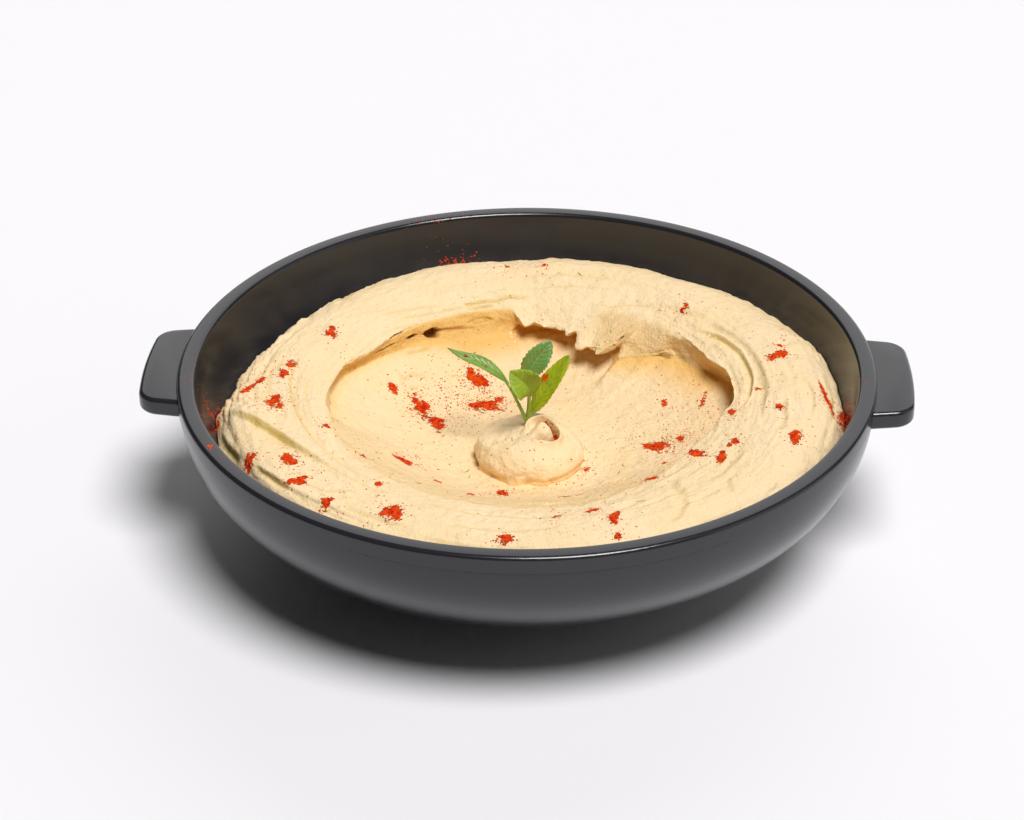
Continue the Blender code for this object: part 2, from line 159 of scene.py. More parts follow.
def spinRound(bm, verts, sides):
    # a line of vertices, joined up and turned about Z
    edges = [bm.edges.new(pair) for pair in zip(verts, verts[1:])]
    bmesh.ops.spin(bm, geom=verts + edges, cent=(0, 0, 0), axis=(0, 0, 1), dvec=(0, 0, 0),
                   angle=math.tau, steps=sides, use_merge=True)


def spunRows(rows, sides):
    # numbered rows turned about Z, with each vertex's row and turn
    bm = bmesh.new()
    rowLayer = bm.verts.layers.int.new("row")
    verts = []
    for row in range(rows):
        vert = bm.verts.new((1.0, 0.0, float(row)))
        vert[rowLayer] = row
        verts.append(vert)
    spinRound(bm, verts, sides)
    row = np.array([vert[rowLayer] for vert in bm.verts])
    turn = np.array([math.atan2(vert.co.y, vert.co.x) for vert in bm.verts])
    return bm, row, np.round(turn / math.tau * sides).astype(int) % sides


def placeVerts(bm, places, layers=()):
    # moves every vertex, in millimetres, and fills its named float layers
    made = [bm.verts.layers.float.new(name) for name, _ in layers]
    for number, vert in enumerate(bm.verts):
        vert.co = Vector(places[number]) * mm
        for layer, (_, values) in zip(made, layers):
            vert[layer] = values[number]
    bmesh.ops.remove_doubles(bm, verts=bm.verts, dist=mergeDistance)


def makePiece(name, bm, finish, slotName, *nodes):
    # a finished piece with its faces outwards, which loose bits settle on if it stands for a node
    bmesh.ops.recalc_face_normals(bm, faces=bm.faces)
    if nodes:
        surfaces[name] = BVHTree.FromBMesh(bm)
    mesh = meshFrom(bm, name)
    mesh.shade_smooth()
    mesh.materials.append(finish)
    piece = addObject(name, mesh)
    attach(piece, "root")
    if nodes:
        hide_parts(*nodes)
    print(name, len(mesh.polygons), "faces")
    return piece


# Materials

class Wire:
    # one output of a material's node, so that sums on it add Math nodes

    def __init__(self, finish, node, output):
        self.finish = finish
        self.node = node
        self.socket = node.outputs[output]

    def other(self, output):
        return Wire(self.finish, self.node, output)


def onWires(operation, swapped=False):
    def act(wire, value):
        return wire.finish.sum(operation, *((value, wire) if swapped else (wire, value)))
    return act


Wire.__add__, Wire.__radd__ = onWires("ADD"), onWires("ADD", True)
Wire.__sub__, Wire.__mul__ = onWires("SUBTRACT"), onWires("MULTIPLY")
Wire.__truediv__, Wire.__pow__ = onWires("DIVIDE"), onWires("POWER")


class Finish:
    # a material being built

    def __init__(self, name):
        self.material = bpy.data.materials.new(name)
        self.material.use_nodes = True
        self.tree = self.material.node_tree
        self.tree.nodes.clear()

    def add(self, kind, settings=None, values=None, output=0):
        # a node of any type: its settings first, then values or links for its sockets
        node = self.tree.nodes.new("ShaderNode" + kind)
        for key, value in (settings or {}).items():
            setattr(node, key, value)
        for key, value in (values or {}).items():
            if isinstance(value, Wire):
                self.tree.links.new(value.socket, node.inputs[key])
            else:
                node.inputs[key].default_value = value
        return Wire(self, node, output)

    def sum(self, operation, *values):
        return self.add("Math", {"operation": operation}, dict(enumerate(values)))

    def place(self):
        return self.add("TexCoord", output="Object")

    def noise(self, vector, scale, detail, roughness=0.5):
        values = {"Vector": vector, "Scale": scale, "Detail": detail, "Roughness": roughness}
        return self.add("TexNoise", None, values)

    def limit(self, value, low, high):
        # 0 at low, 1 at high, and never outside them
        values = {"Value": value, "From Min": low, "From Max": high}
        return self.add("MapRange", {"clamp": True}, values)

    def tint(self, share, first, second):
        values = {"Factor": share, 6: first, 7: second}
        return self.add("Mix", {"data_type": "RGBA"}, values, output=2)

    def attribute(self, name):
        return self.add("Attribute", {"attribute_name": name}, output="Fac")

    def close(self, colour, roughness, height=0.0, depth=0.0, **values):
        # a Principled surface, with bumps of this height and depth in metres, and other values or
        # links with _ for a space in the socket's name
        values = {key.replace("_", " "): value for key, value in values.items()}
        values.update({"Base Color": colour, "Roughness": roughness})
        if depth:
            bump = {"Height": height, "Distance": depth, "Strength": 1.0}
            values["Normal"] = self.add("Bump", None, bump)
        shader = self.add("BsdfPrincipled", None, values, output="BSDF")
        last = self.tree.nodes.new("ShaderNodeOutputMaterial")
        self.tree.links.new(shader.socket, last.inputs["Surface"])
        return self.material


hummusLook = {
    "pale": (0.945, 0.735, 0.462, 1),
    "deep": (0.925, 0.685, 0.372, 1),
    # painted warm shade, for paste that only other paste lights
    "paintedWarmShade": (0.86, 0.51, 0.15, 1),
    # painted shade along creases and spoon grooves
    "paintedCreaseShade": (0.62, 0.44, 0.10, 1),
    # painted dark shade, in torn holes and the dollop's curl
    "paintedDeepShade": (0.30, 0.13, 0.03, 1),
    "fleck": (0.22, 0.09, 0.02, 1),
    "powder": (0.56, 0.014, 0.001, 1),
    "brightPowder": (0.84, 0.075, 0.001, 1),
    "roughness": 0.5, "specular": 0.12, "bump": 0.0009,
    # noise scales, per metre, and the turns and rings of the swept streaks
    "patchScale": 70, "lumpScale": 520, "grainScale": 1700, "fleckScale": 260,
    "powderScale": 560, "powderShadeScale": 1100, "streakTurns": 5, "streakRings": 800,
}


def hummusFinish():
    look = hummusLook
    finish = Finish("hummusPaste")
    place = finish.place()
    x = finish.add("SeparateXYZ", None, {"Vector": place})
    y = x.other("Y")
    radius = (x * x + y * y + 1e-7) ** 0.5
    turns = look["streakTurns"]
    swept = {"X": x / radius * turns, "Y": y / radius * turns, "Z": radius * look["streakRings"]}
    streak = finish.noise(finish.add("CombineXYZ", None, swept), 1.0, 3)
    lumps = finish.noise(place, look["lumpScale"], 3)
    grain = finish.noise(place, look["grainScale"], 3, 0.6)
    patch = finish.limit(finish.noise(place, look["patchScale"], 4), 0.35, 0.65)
    colour = finish.tint(patch * 0.5 + streak * 0.25 + lumps * 0.25, look["pale"], look["deep"])
    # painted shade laid over the paste's colour: warm gold, darker gold in creases, dark brown in
    # holes
    for name in ("paintedWarmShade", "paintedCreaseShade", "paintedDeepShade"):
        colour = finish.tint(finish.attribute(name), colour, look[name])
    cells = {"Vector": place, "Scale": look["fleckScale"]}
    cells = finish.add("TexVoronoi", None, cells, output="Distance")
    pick = finish.add("SeparateColor", None, {"Color": cells.other("Color")})
    fleck = finish.limit(cells, 0.075, 0.045) * finish.limit(pick, 0.62, 0.66)
    colour = finish.tint(fleck * 0.7, colour, look["fleck"])
    ragged = finish.noise(place, look["powderScale"], 3, 0.65)
    powderEdge = (ragged - 0.5) * 1.7 + (grain - 0.5) * 1.1 + 0.5
    powder = finish.limit(finish.attribute("paprika") - powderEdge, -0.03, 0.06)
    powderShade = finish.limit(finish.noise(place, look["powderShadeScale"], 3), 0.40, 0.60)
    powderColour = finish.tint(powderShade, look["powder"], look["brightPowder"])
    colour = finish.tint(powder, colour, powderColour)
    roughShare = finish.attribute("rough")
    height = streak * 0.3 + lumps * 0.6 + grain * (0.3 + roughShare * 0.4) + powder * 0.8
    shine = look["roughness"] + (grain - 0.5) * 0.3 + powder * 0.35
    return finish.close(colour, shine, height, look["bump"], Specular_IOR_Level=look["specular"])


# Bowl

bowlShape = {
    "sides": 256,
    "rimWidth": 4.7, "rimFillet": 1.1, "filletSteps": 6,
    "collarDepth": 4.8, "collarStep": 0.4,
    "bodyPower": 2.15, "bodySteps": 30, "footTop": 58,
    "innerDepth": 43.5, "innerPower": 2.2, "innerSteps": 40, "innerTop": 7,
    "footRadius": 48, "footWidth": 4, "footRecess": 1.8, "footEase": 0.8,
    "lugRoot": 87.6, "lugRootHalf": 19.6, "lugEndHalf": 18.0, "lugSag": 1.3, "lugCorner": 4.5,
    "lugBelowRim": 2.0, "lugThickness": 4.8, "lugEdge": 1.1, "lugEdgeSteps": 5, "cornerSteps": 10,
    "sharpAngle": 38,
}

bowlLook = {
    "dark": (0.0152, 0.0147, 0.0185, 1),
    "light": (0.0195, 0.019, 0.0235, 1),
    "roughness": 0.20, "ior": 1.55, "cloudScale": 40, "satinScale": 900, "bump": 0.00002,
}


def wallRadius(depth):
    # the bowl's inner radius at a depth below the rim
    share = np.clip(depth / bowlShape["innerDepth"], 0, 1)
    power = bowlShape["innerPower"]
    return (rimRadius - bowlShape["rimWidth"]) * (1 - share ** power) ** (1 / power)


def bowlProfile():
    shape = bowlShape
    foot, ease = shape["footRadius"], shape["footEase"]
    bodyDepth = rimHeight - shape["collarDepth"]
    inside = rimRadius - shape["rimWidth"]
    hollowEdge = foot - shape["footWidth"]
    base = ((0, shape["footRecess"]), (hollowEdge - ease, shape["footRecess"]), (hollowEdge, 0),
            (foot - ease, 0), (foot - ease * 0.3, ease * 0.3), (foot, ease))
    turns = np.linspace(shape["footTop"], 0, shape["bodySteps"])
    body = superCurve(rimRadius - shape["collarStep"], bodyDepth, shape["bodyPower"], turns)
    parts = [base, body + (0, bodyDepth), ((rimRadius, bodyDepth + shape["collarStep"]),)]
    fillet = shape["rimFillet"]
    for centre, first in ((rimRadius - fillet, 0), (inside + fillet, 90)):
        bend = polar(np.linspace(first, first + 90, shape["filletSteps"]), fillet)
        parts.append(bend + (centre, rimHeight - fillet))
    turns = np.linspace(shape["innerTop"], 90, shape["innerSteps"])
    inner = superCurve(inside, shape["innerDepth"], shape["innerPower"], turns)
    return np.vstack((*parts, inner + (0, rimHeight)))


def lugOutline():
    # one lug from above: straight flanks, round corners and a shallow arc at the end
    shape = bowlShape
    root = np.array((shape["lugRoot"], shape["lugRootHalf"]))
    corner = np.array((lugReach - shape["lugSag"], shape["lugEndHalf"]))
    flank = corner - root
    before = corner - unit(flank) * shape["lugCorner"]
    after = corner + (shape["lugSag"] * 0.45, -shape["lugCorner"])
    bends = between(before, corner, 0.6), between(after, corner, 0.6)
    upper = [root, before, *cubicCurve(before, *bends, after, shape["cornerSteps"])]
    for share in (0.75, 0.5, 0.25):
        upper.append(np.array((lugReach - shape["lugSag"] * 0.55 * share ** 2, after[1] * share)))
    lower = [point * (1, -1) for point in reversed(upper)]
    return upper + [np.array((lugReach, 0))] + lower


def lugSolid(side):
    shape = bowlShape
    bm = bmesh.new()
    bottom = rimHeight - shape["lugBelowRim"] - shape["lugThickness"]
    outline = [bm.verts.new((x * mm, y * mm, bottom * mm)) for x, y in lugOutline()]
    grown = bmesh.ops.extrude_face_region(bm, geom=[bm.faces.new(outline)])["geom"]
    raised = [item for item in grown if isinstance(item, bmesh.types.BMVert)]
    bmesh.ops.translate(bm, verts=raised, vec=(0, 0, shape["lugThickness"] * mm))
    inside = (shape["lugRoot"] + shape["lugEdge"]) * mm
    rims = [edge for edge in bm.edges if abs(edge.verts[0].co.z - edge.verts[1].co.z) < 1e-5
            and max(vert.co.x for vert in edge.verts) > inside]
    bmesh.ops.bevel(bm, geom=rims, offset=shape["lugEdge"] * mm, segments=shape["lugEdgeSteps"],
                    profile=0.5, affect="EDGES", clamp_overlap=True, material=-1)
    if side < 0:
        turned = Matrix.Rotation(math.pi, 3, "Z")
        bmesh.ops.rotate(bm, verts=bm.verts, cent=(0, 0, 0), matrix=turned)
    bmesh.ops.recalc_face_normals(bm, faces=bm.faces)
    return bm


def bowlFinish():
    look = bowlLook
    finish = Finish("blackMelamine")
    place = finish.place()
    cloud = finish.noise(place, look["cloudScale"], 3)
    satin = finish.noise(place, look["satinScale"], 3, 0.6)
    colour = finish.tint(cloud, look["dark"], look["light"])
    shine = look["roughness"] + (cloud - 0.5) * 0.06 + (satin - 0.5) * 0.08
    return finish.close(colour, shine, satin, look["bump"], IOR=look["ior"])


def buildBowl():
    bm = bmesh.new()
    verts = [bm.verts.new((radius * mm, 0, height * mm)) for radius, height in bowlProfile()]
    spinRound(bm, verts, bowlShape["sides"])
    bmesh.ops.remove_doubles(bm, verts=bm.verts, dist=mergeDistance)
    bowl = makePiece("bowlShell", bm, bowlFinish(), "black_melamine", "bowl")
    lugs = [addObject("lug", meshFrom(lugSolid(side), "lug")) for side in (1, -1)]
    for lug in lugs:
        union = bowl.modifiers.new("lug", "BOOLEAN")
        union.operation = "UNION"
        union.object = lug
    graph = bpy.context.evaluated_depsgraph_get()
    joined = bpy.data.meshes.new_from_object(bowl.evaluated_get(graph))
    bowl.modifiers.clear()
    bowl.data = joined
    joined.set_sharp_from_angle(angle=math.radians(bowlShape["sharpAngle"]))
    for lug in lugs:
        bpy.data.objects.remove(lug)


# Hummus

hummusShape = {
    "sides": 504,
    "rows": {"wall": 7, "outer": 46, "shoulder": 48, "undercut": 34, "dish": 42, "floor": 16},
    "gap": 0.15,
    "contactDepth": (
        (0, 13.4), (22, 12.4), (40, 13.2), (60, 14.6), (84, 15), (97, 16.4), (112, 15.2),
        (120, 17), (140, 19), (165, 18.6), (185, 16), (206, 16.6), (300, 15.5)),
    "contactNoise": ((0.35, 5.0, 21), (0.25, 1.7, 22)),
    "contactRise": ((5, 4.6), (40, 3.4), (110, 3.2), (140, 4.2), (170, 7), (200, 7), (250, 4)),
    "crestDepth": (
        (0, 6.2), (50, 5.9), (84, 6.2), (98, 7.4), (114, 6.9), (150, 7.2), (240, 8), (300, 7.8)),
    "crestRadius": ((0, 69), (50, 66), (150, 66), (200, 68), (270, 67)),
    "lipRadius": (
        (2, 53.8), (14, 54), (24, 51.4), (40, 51.6), (98, 48.4), (112, 49.2), (126, 49.4),
        (140, 48.6), (151, 48), (166, 50.8),
        (206, 54), (290, 54), (333, 49.2), (347, 51)),
    "lipDepth": (
        (0, 9.2), (30, 9), (60, 9.7), (150, 9.6), (190, 9.2), (270, 9.6), (333, 9.8)),
    "lipShelter": (
        (8, 3.8), (22, 3.6), (33, -0.4), (41, -3), (45, -7.5), (57, -13), (98, -4.4),
        (112, -7), (124, -4.6), (138, -1.2), (156, 1.2), (172, 1.4), (184, -0.8), (206, -10),
        (300, -10), (322, -3.2), (333, 1.4), (347, 3.4)),
    "footDepth": (
        (10, 15.4), (42, 15), (56, 16.4), (112, 16), (160, 13.6), (206, 12.6), (270, 13.6),
        (333, 14)),
    "wellDepth": 23, "wellFloor": 23,
    # the torn flaps over the well: first and last angle, then radius and depth of the cavity's end
    "flaps": ((53, 75, 46, 16.4), (71, 98, 48.5, 15.6)),
    "flapFade": 5,
    "flapRadius": ((53, 35.4), (59, 35), (65, 36.2), (68, 34), (72, 33.9), (76, 38.2),
                   (78, 41.2), (83, 42), (89, 43.2), (94, 41.6), (98, 41)),
    "flapDepth": ((60, 13.6), (72, 13.4), (78, 12.3), (98, 12.2)),
    # the tongue on the left: the line of its crease from the nose, how far and high the ring rises
    # beside it, with a thin ridge, how deep and far the tongue falls, the width of the step between
    # them, and how far out and how high the tongue's body is
    "tongue": {
        "line": ((188, 78.4), (190, 76.3), (193, 74), (195.5, 71.4), (198.5, 69), (202.5, 66.6),
                 (207.5, 64.8), (213, 62.8), (221, 61.2), (232, 60.2)),
        "reach": 4.5, "rise": 0.75, "ridge": 0.4, "fall": 0.75, "ease": 2.4, "wall": 0.75,
        "outer": 78, "lift": 0.7},
    # how its curves leave and reach their ends, as steps outwards and up: the outer slope, the
    # shoulder, the wall under an open lip or an overhanging one, and the well
    "outerStart": -3, "outerEnd": (9, 0.2),
    "shoulderStart": (-6, 0), "shoulderEnd": (3.4, 0.9),
    "wallStart": ((-3.2, -1.2), (0, -2.4)), "wallEnd": ((3.4, 1.6), (0.4, 2.2)),
    "dishStart": (-6, -3.4), "dishEnd": (8, 0),
}

# Parts of the ring that differ: first angle and how gently each starts, last angle and how gently
# it ends
hummusArcs = {
    "tongue": (184, 3, 226, 12),
    "brokenWall": (24, 12, 72, 12),
    "plainWall": (22, 10, 64, 10),
    "wrinkles": (118, 20, 198, 12),
    # shade, rightCavity and flapCavity bound the painted warm shade
    "shade": (8, 20, 176, 16),
    "rightCavity": (10, 14, 64, 14), "flapCavity": (62, 14, 132, 18),
    "teeth": (18, 20, 172, 20),
    "slide": (28, 10, 112, 10),
}

# Marks left by the spoon, each with its (angle, radius) places, half width and depth. A mark is
# steep on its left, looking along it, and eases out on its right; a negative depth is a ridge.
spoonMarks = (
    (((232, 58), (214, 58.4), (197, 59.6), (183, 61.2), (170, 63.6)), 0.7, 0.75),
    (((207, 54.8), (196, 56.4), (184, 57.6), (172, 58.6)), 0.6, 0.35),
    (((192, 66.4), (184, 67.6), (174, 68), (166, 67.4)), 0.6, 0.45),
    (((238, 60.2), (229, 60.6), (217, 62)), 0.7, 0.4),
    (((231, 64), (227, 69), (221, 71)), 0.8, 0.5),
    (((190, 80.4), (194, 80), (199, 79.2), (204, 78.2)), 0.8, 1.6),
    (((209, 76.4), (213, 75.8), (217, 75.2), (221, 74.6)), 0.6, 0.9),
    (((240, 72.2), (232, 72.6), (222, 74), (212, 75.2)), 0.7, -0.5),
    (((236, 75.8), (246, 75.4), (256, 75.6)), 0.5, 0.7),
    (((232, 71.4), (240, 70.4), (249, 70.6)), 0.6, 0.35),
    (((252, 72.8), (262, 73.4), (276, 73.2)), 0.7, 0.4),
    (((262, 76.2), (270, 75.4), (277, 75.8)), 0.5, 0.4),
    (((38, 55), (30, 58), (20, 59.4), (8, 59.2), (359, 57.6), (352, 55)), 0.55, 1.05),
    (((40, 58.6), (28, 61), (15, 62), (0, 61.8), (347, 60.8)), 0.9, 0.35),
    (((4, 71.2), (3, 73.4), (358, 74.4), (347, 74.4)), 0.5, 0.4),
    (((357, 66.8), (349, 67.8), (342, 68.8)), 0.7, 0.3),
    (((321, 65.8), (319, 68.6), (317, 71.5)), 0.6, 0.45),
    (((313, 55), (310, 60), (309, 66)), 1, 0.4),
    (((309, 64), (306, 69), (300, 73)), 0.8, 0.35),
    (((284, 59), (272, 60), (258, 59.6), (246, 58)), 0.9, 0.35),
    (((280, 66), (266, 66.6), (252, 66)), 0.8, 0.3),
    (((300, 51), (286, 52.4), (270, 52.8), (252, 52)), 1, 0.3),
    (((236, 46), (224, 48), (212, 50.4), (200, 52)), 0.9, 0.3),
    (((335, 62), (326, 63.4), (316, 63)), 0.8, 0.3),
    (((114, 51.4), (108, 51.6), (101, 51.5), (96, 53.2), (90, 52.6)), 0.35, 1),
    (((113, 49.6), (107, 49.6), (102, 49.2)), 0.3, 0.8),
    (((117, 48.2), (110, 47.9), (104, 47.4)), 0.3, -0.45),
    (((122, 50.4), (116, 50.8), (112, 50.6)), 0.35, 0.6),
    (((138, 57.2), (128, 55), (118, 53)), 0.5, 0.45),
    (((134, 53), (126, 51.6), (120, 50.6)), 0.4, 0.5),
    (((66, 58), (80, 57.4), (92, 56)), 0.6, 0.4),
    (((60, 62), (76, 62.4), (94, 61)), 0.8, 0.3),
    (((39, 58.8), (48, 58), (58, 55), (66, 52.2), (74, 50.8)), 0.5, 0.7),
    (((64, 45.8), (67, 47.4), (72, 46.2)), 0.4, 0.7),
    (((80, 46.4), (86, 47.2), (93, 46.4)), 0.4, 0.35),
    (((76, 43.4), (84, 44.6), (92, 45)), 0.35, 0.3),
    (((129, 48.8), (134, 49.6), (138, 50.2), (143, 50.8)), 0.35, 1.1),
    (((32, 51.4), (38, 49.6), (42, 46.8), (47, 43.6), (60, 43.2)), 0.35, 0.8),
    (((43, 47.4), (40, 49.2)), 0.4, 0.9),
    (((154, 37.4), (150, 38.2), (146, 37.4), (143, 35.4)), 0.3, 0.4),
    (((138, 46.2), (133, 45.4), (128, 44.8)), 0.4, 0.7),
    (((150, 41), (142, 40), (136, 37.6)), 0.7, 0.4),
    (((150, 75.2), (162, 76.4), (176, 77.4), (190, 76.8)), 0.45, 0.9),
    (((142, 71.2), (156, 72.8), (170, 73.8), (183, 73.6)), 0.5, 0.8),
    (((152, 69.2), (166, 70.2), (178, 70.4)), 0.5, 0.5),
    (((124, 74.6), (138, 76.6), (150, 77.8)), 0.45, 0.6),
    (((132, 71.6), (142, 73.6), (150, 74.4)), 0.4, 0.5),
    (((144, 76), (158, 78.2), (172, 79.2)), 0.4, 0.7),
    (((160, 74.6), (166, 75.2), (174, 75.8)), 0.35, 0.6),
    (((148, 73.2), (154, 74.4), (162, 75.4)), 0.35, 0.5),
    (((176, 75.4), (182, 75.4), (188, 74.6)), 0.4, 0.6),
    (((10, 79), (24, 79.4), (40, 78.2)), 0.5, 0.5),
    (((350, 79.4), (2, 80), (14, 79.6)), 0.5, 0.4),
    (((60, 76.8), (76, 76), (92, 74.6)), 0.5, 0.4),
    (((98, 72), (108, 73.4), (120, 73)), 0.5, 0.4),
)

# Hollows torn in the wall under the lip: centre and half of their angle, centre and half of their
# share of the way down the wall, depth and the darkness of the painted shade in them
tornHollows = (
    (126, 3.2, 0.6, 0.2, 3.2, 1),
    (133.2, 2, 0.56, 0.1, 1.8, 0.95),
    (139.5, 3.4, 0.1, 0.05, 0.8, 0.35),
    (117, 6, 0.62, 0.1, 0.6, 0.1),
    (108, 5, 0.42, 0.1, 0.5, 0.08),
    (145, 5, 0.55, 0.1, 0.6, 0.1),
)


def ringPlaces(degrees):
    # the crest, the lip and the foot of the wall under it, as radius and height
    shape = hummusShape
    names = ("crestRadius", "crestDepth", "lipRadius", "lipDepth", "flapRadius", "flapDepth",
             "lipShelter", "footDepth")
    guides = {name: readGuide(shape[name], degrees) for name in names}
    crest, lip, edge = [np.stack((guides[name + "Radius"], -guides[name + "Depth"]), -1)
                        for name in ("crest", "lip", "flap")]
    foot = np.stack((lip[:, 0] + guides["lipShelter"], -guides["footDepth"]), -1)
    torn = np.zeros(len(degrees))
    for first, last, endRadius, endDepth in shape["flaps"]:
        share = within(degrees, first, shape["flapFade"], last, shape["flapFade"])
        lip = between(lip, edge, share[:, None])
        foot = between(foot, np.array((endRadius, -endDepth)), share[:, None])
        torn = np.maximum(torn, share)
    up = np.array((0, rimHeight))
    return crest + up, lip + up, foot + up, torn


def tongueRelief(plan, degrees, radius):
    # the ring's edge stands over the tongue along a crease, which fades out towards its root
    tongue = hummusShape["tongue"]
    near, gap, share = gapTo(lineThrough(tongue["line"]), plan, 16)
    fade = (0.35 + 0.65 * smoothStep(share * 5 - 0.6)) * smoothStep(share * 12)
    fade = fade * smoothStep((1 - share) * 2.2)
    over = 1 - smoothStep(gap / tongue["wall"] + 0.5)
    ringSide = tongue["rise"] * bell(gap, tongue["reach"]) + tongue["ridge"] * bell(gap + 0.9, 0.8)
    tongueSide = -tongue["fall"] * bell(gap, tongue["ease"])
    relief, paintedCreaseShade = np.zeros(radius.shape), np.zeros(radius.shape)
    relief[near] = fade * between(tongueSide, ringSide, over)
    # painted shade along the crease, under the ring's edge
    paintedCreaseShade[near] = 0.9 * fade * bell(gap - 0.1, 0.6)
    body = within(degrees, *hummusArcs["tongue"]) * within(radius, 66, 8, tongue["outer"], 1.6)
    return relief + tongue["lift"] * body, paintedCreaseShade


def hummusSections(degrees):
    # sections from the bowl's centre up its wall, over the ring and down to the well's centre
    shape, rows = hummusShape, hummusShape["rows"]
    innerRadius = rimRadius - bowlShape["rimWidth"] - shape["gap"]
    innerDepth = bowlShape["innerDepth"] - shape["gap"]
    around = raised(polar(degrees, 80.0), np.zeros(len(degrees)))
    contact = readGuide(shape["contactDepth"], degrees)
    contact = contact + mixedNoise(around, shape["contactNoise"])
    turn = np.degrees(np.arcsin((contact / innerDepth) ** (bowlShape["innerPower"] / 2)))
    steps = np.linspace(1, 0, rows["wall"] + 1)[:, None]
    wall = superCurve(innerRadius, innerDepth, bowlShape["innerPower"], turn + (90 - turn) * steps)
    wall = np.swapaxes(wall, 0, 1) + (0, rimHeight)
    start = wall[:, -1]
    crest, lip, foot, torn = ringPlaces(degrees)
    rise = np.full(len(degrees), shape["outerStart"]), readGuide(shape["contactRise"], degrees)
    rise = np.stack(rise, -1)
    outer = cubicCurve(start, start + rise, crest + shape["outerEnd"], crest, rows["outer"])
    shoulder = cubicCurve(crest, crest + shape["shoulderStart"], lip + shape["shoulderEnd"], lip,
                          rows["shoulder"])
    shelter = smoothStep((foot[:, :1] - lip[:, :1]) / 4 + 1)
    leave, arrive = [between(*np.array(shape[end]), shelter) for end in ("wallStart", "wallEnd")]
    undercut = cubicCurve(lip, lip + leave, foot + arrive, foot, rows["undercut"])
    edge = np.tile((shape["wellFloor"], rimHeight - shape["wellDepth"]), (len(degrees), 1))
    dish = cubicCurve(foot, foot + shape["dishStart"], edge + shape["dishEnd"], edge, rows["dish"])
    inward = np.linspace(1, 0, rows["floor"] + 1)[1:]
    level = edge[:, None] * np.stack((inward, np.ones(rows["floor"])), -1)
    return np.concatenate((wall, outer, shoulder, undercut, dish, level), axis=1), torn


def lineThrough(stations, steps=9):
    # a smooth line on the plan through (angle, radius) places
    stations = np.array(stations, float)
    stations[:, 0] = np.degrees(np.unwrap(np.radians(stations[:, 0])))
    spots = np.arange(len(stations))
    fine = np.linspace(0, len(stations) - 1, (len(stations) - 1) * steps + 1)
    return polar(np.interp(fine, spots, stations[:, 0]), np.interp(fine, spots, stations[:, 1]))


def gapTo(line, plan, reach):
    # each place's distance from the line, less than 0 on its left, and its share along it
    near = np.all((plan > line.min(0) - reach) & (plan < line.max(0) + reach), axis=-1)
    places = plan[near]
    gap = np.full(len(places), 1e3)
    share = np.zeros(len(places))
    for number, (start, end) in enumerate(zip(line, line[1:])):
        step = end - start
        offset = places - start
        along = np.clip(offset @ step / (step @ step), 0, 1)
        found = np.linalg.norm(offset - along[:, None] * step, axis=-1)
        nearer = found < np.abs(gap)
        side = np.sign(offset @ np.array((step[1], -step[0])) + 1e-9)
        gap[nearer] = (found * side)[nearer]
        share[nearer] = (number + along[nearer]) / (len(line) - 1)
    return near, gap, share


def strokeRelief(plan, stations, width, depth, fadeSteps):
    # steep on the left of the stroke's line, with a thin raised edge, and easing to the right
    near, gap, share = gapTo(lineThrough(stations), plan, width * 6)
    fade = smoothStep(share * fadeSteps) * smoothStep((1 - share) * fadeSteps)
    section = np.where(gap < 0, bell(gap, width * 0.55), bell(gap, width * 2.2))
    section = section - 0.35 * bell(gap + width * 1.3, width * 0.7)
    relief, paintedCreaseShade = np.zeros(plan.shape[:-1]), np.zeros(plan.shape[:-1])
    relief[near] = -depth * fade * section
    # painted shade in the stroke's groove
    paintedCreaseShade[near] = fade * bell(gap - width * 0.1, width * 0.8) * min(max(depth, 0), 1)
    return relief, paintedCreaseShade


def markRelief(plan):
    found = [strokeRelief(plan, *mark, 5) for mark in spoonMarks]
    return sum(relief for relief, _ in found), np.max([paintedCreaseShade for _, paintedCreaseShade in found], axis=0)


def streakRelief(plan, seed):
    # shallow strokes that follow the ring, at random
    luck = random.Random(seed)
    relief = np.zeros(plan.shape[:-1])
    for _ in range(hummusDetail["strokes"]):
        first, radius = luck.uniform(0, 360), luck.uniform(48, 80)
        sweep, drift = luck.choice((-1, 1)) * luck.uniform(7, 26), luck.uniform(-2.5, 2.5)
        stations = ((first, radius), (first + sweep / 2, radius + drift * 0.7),
                    (first + sweep, radius + drift))
        width, depth = luck.uniform(0.4, 1.1), luck.uniform(-0.14, 0.30)
        relief += strokeRelief(plan, stations, width, depth, 4)[0]
    return relief


hummusDetail = {
    "strokes": 120, "streak": 0.10, "rough": 0.30,
    "wrinkle": 0.55, "wrinkleSize": 1.1, "crinkle": 0.5,
    "teeth": 0.85, "toothSize": 1.5,
    # swells, lumps and fine grain, then the pits: height, size and seed
    "lumps": ((0.35, 13.0, 31), (0.20, 2.6, 33), (0.10, 1.1, 34)),
    "pits": ((0.13, 2.3, 43), (0.05, 0.9, 44)),
}


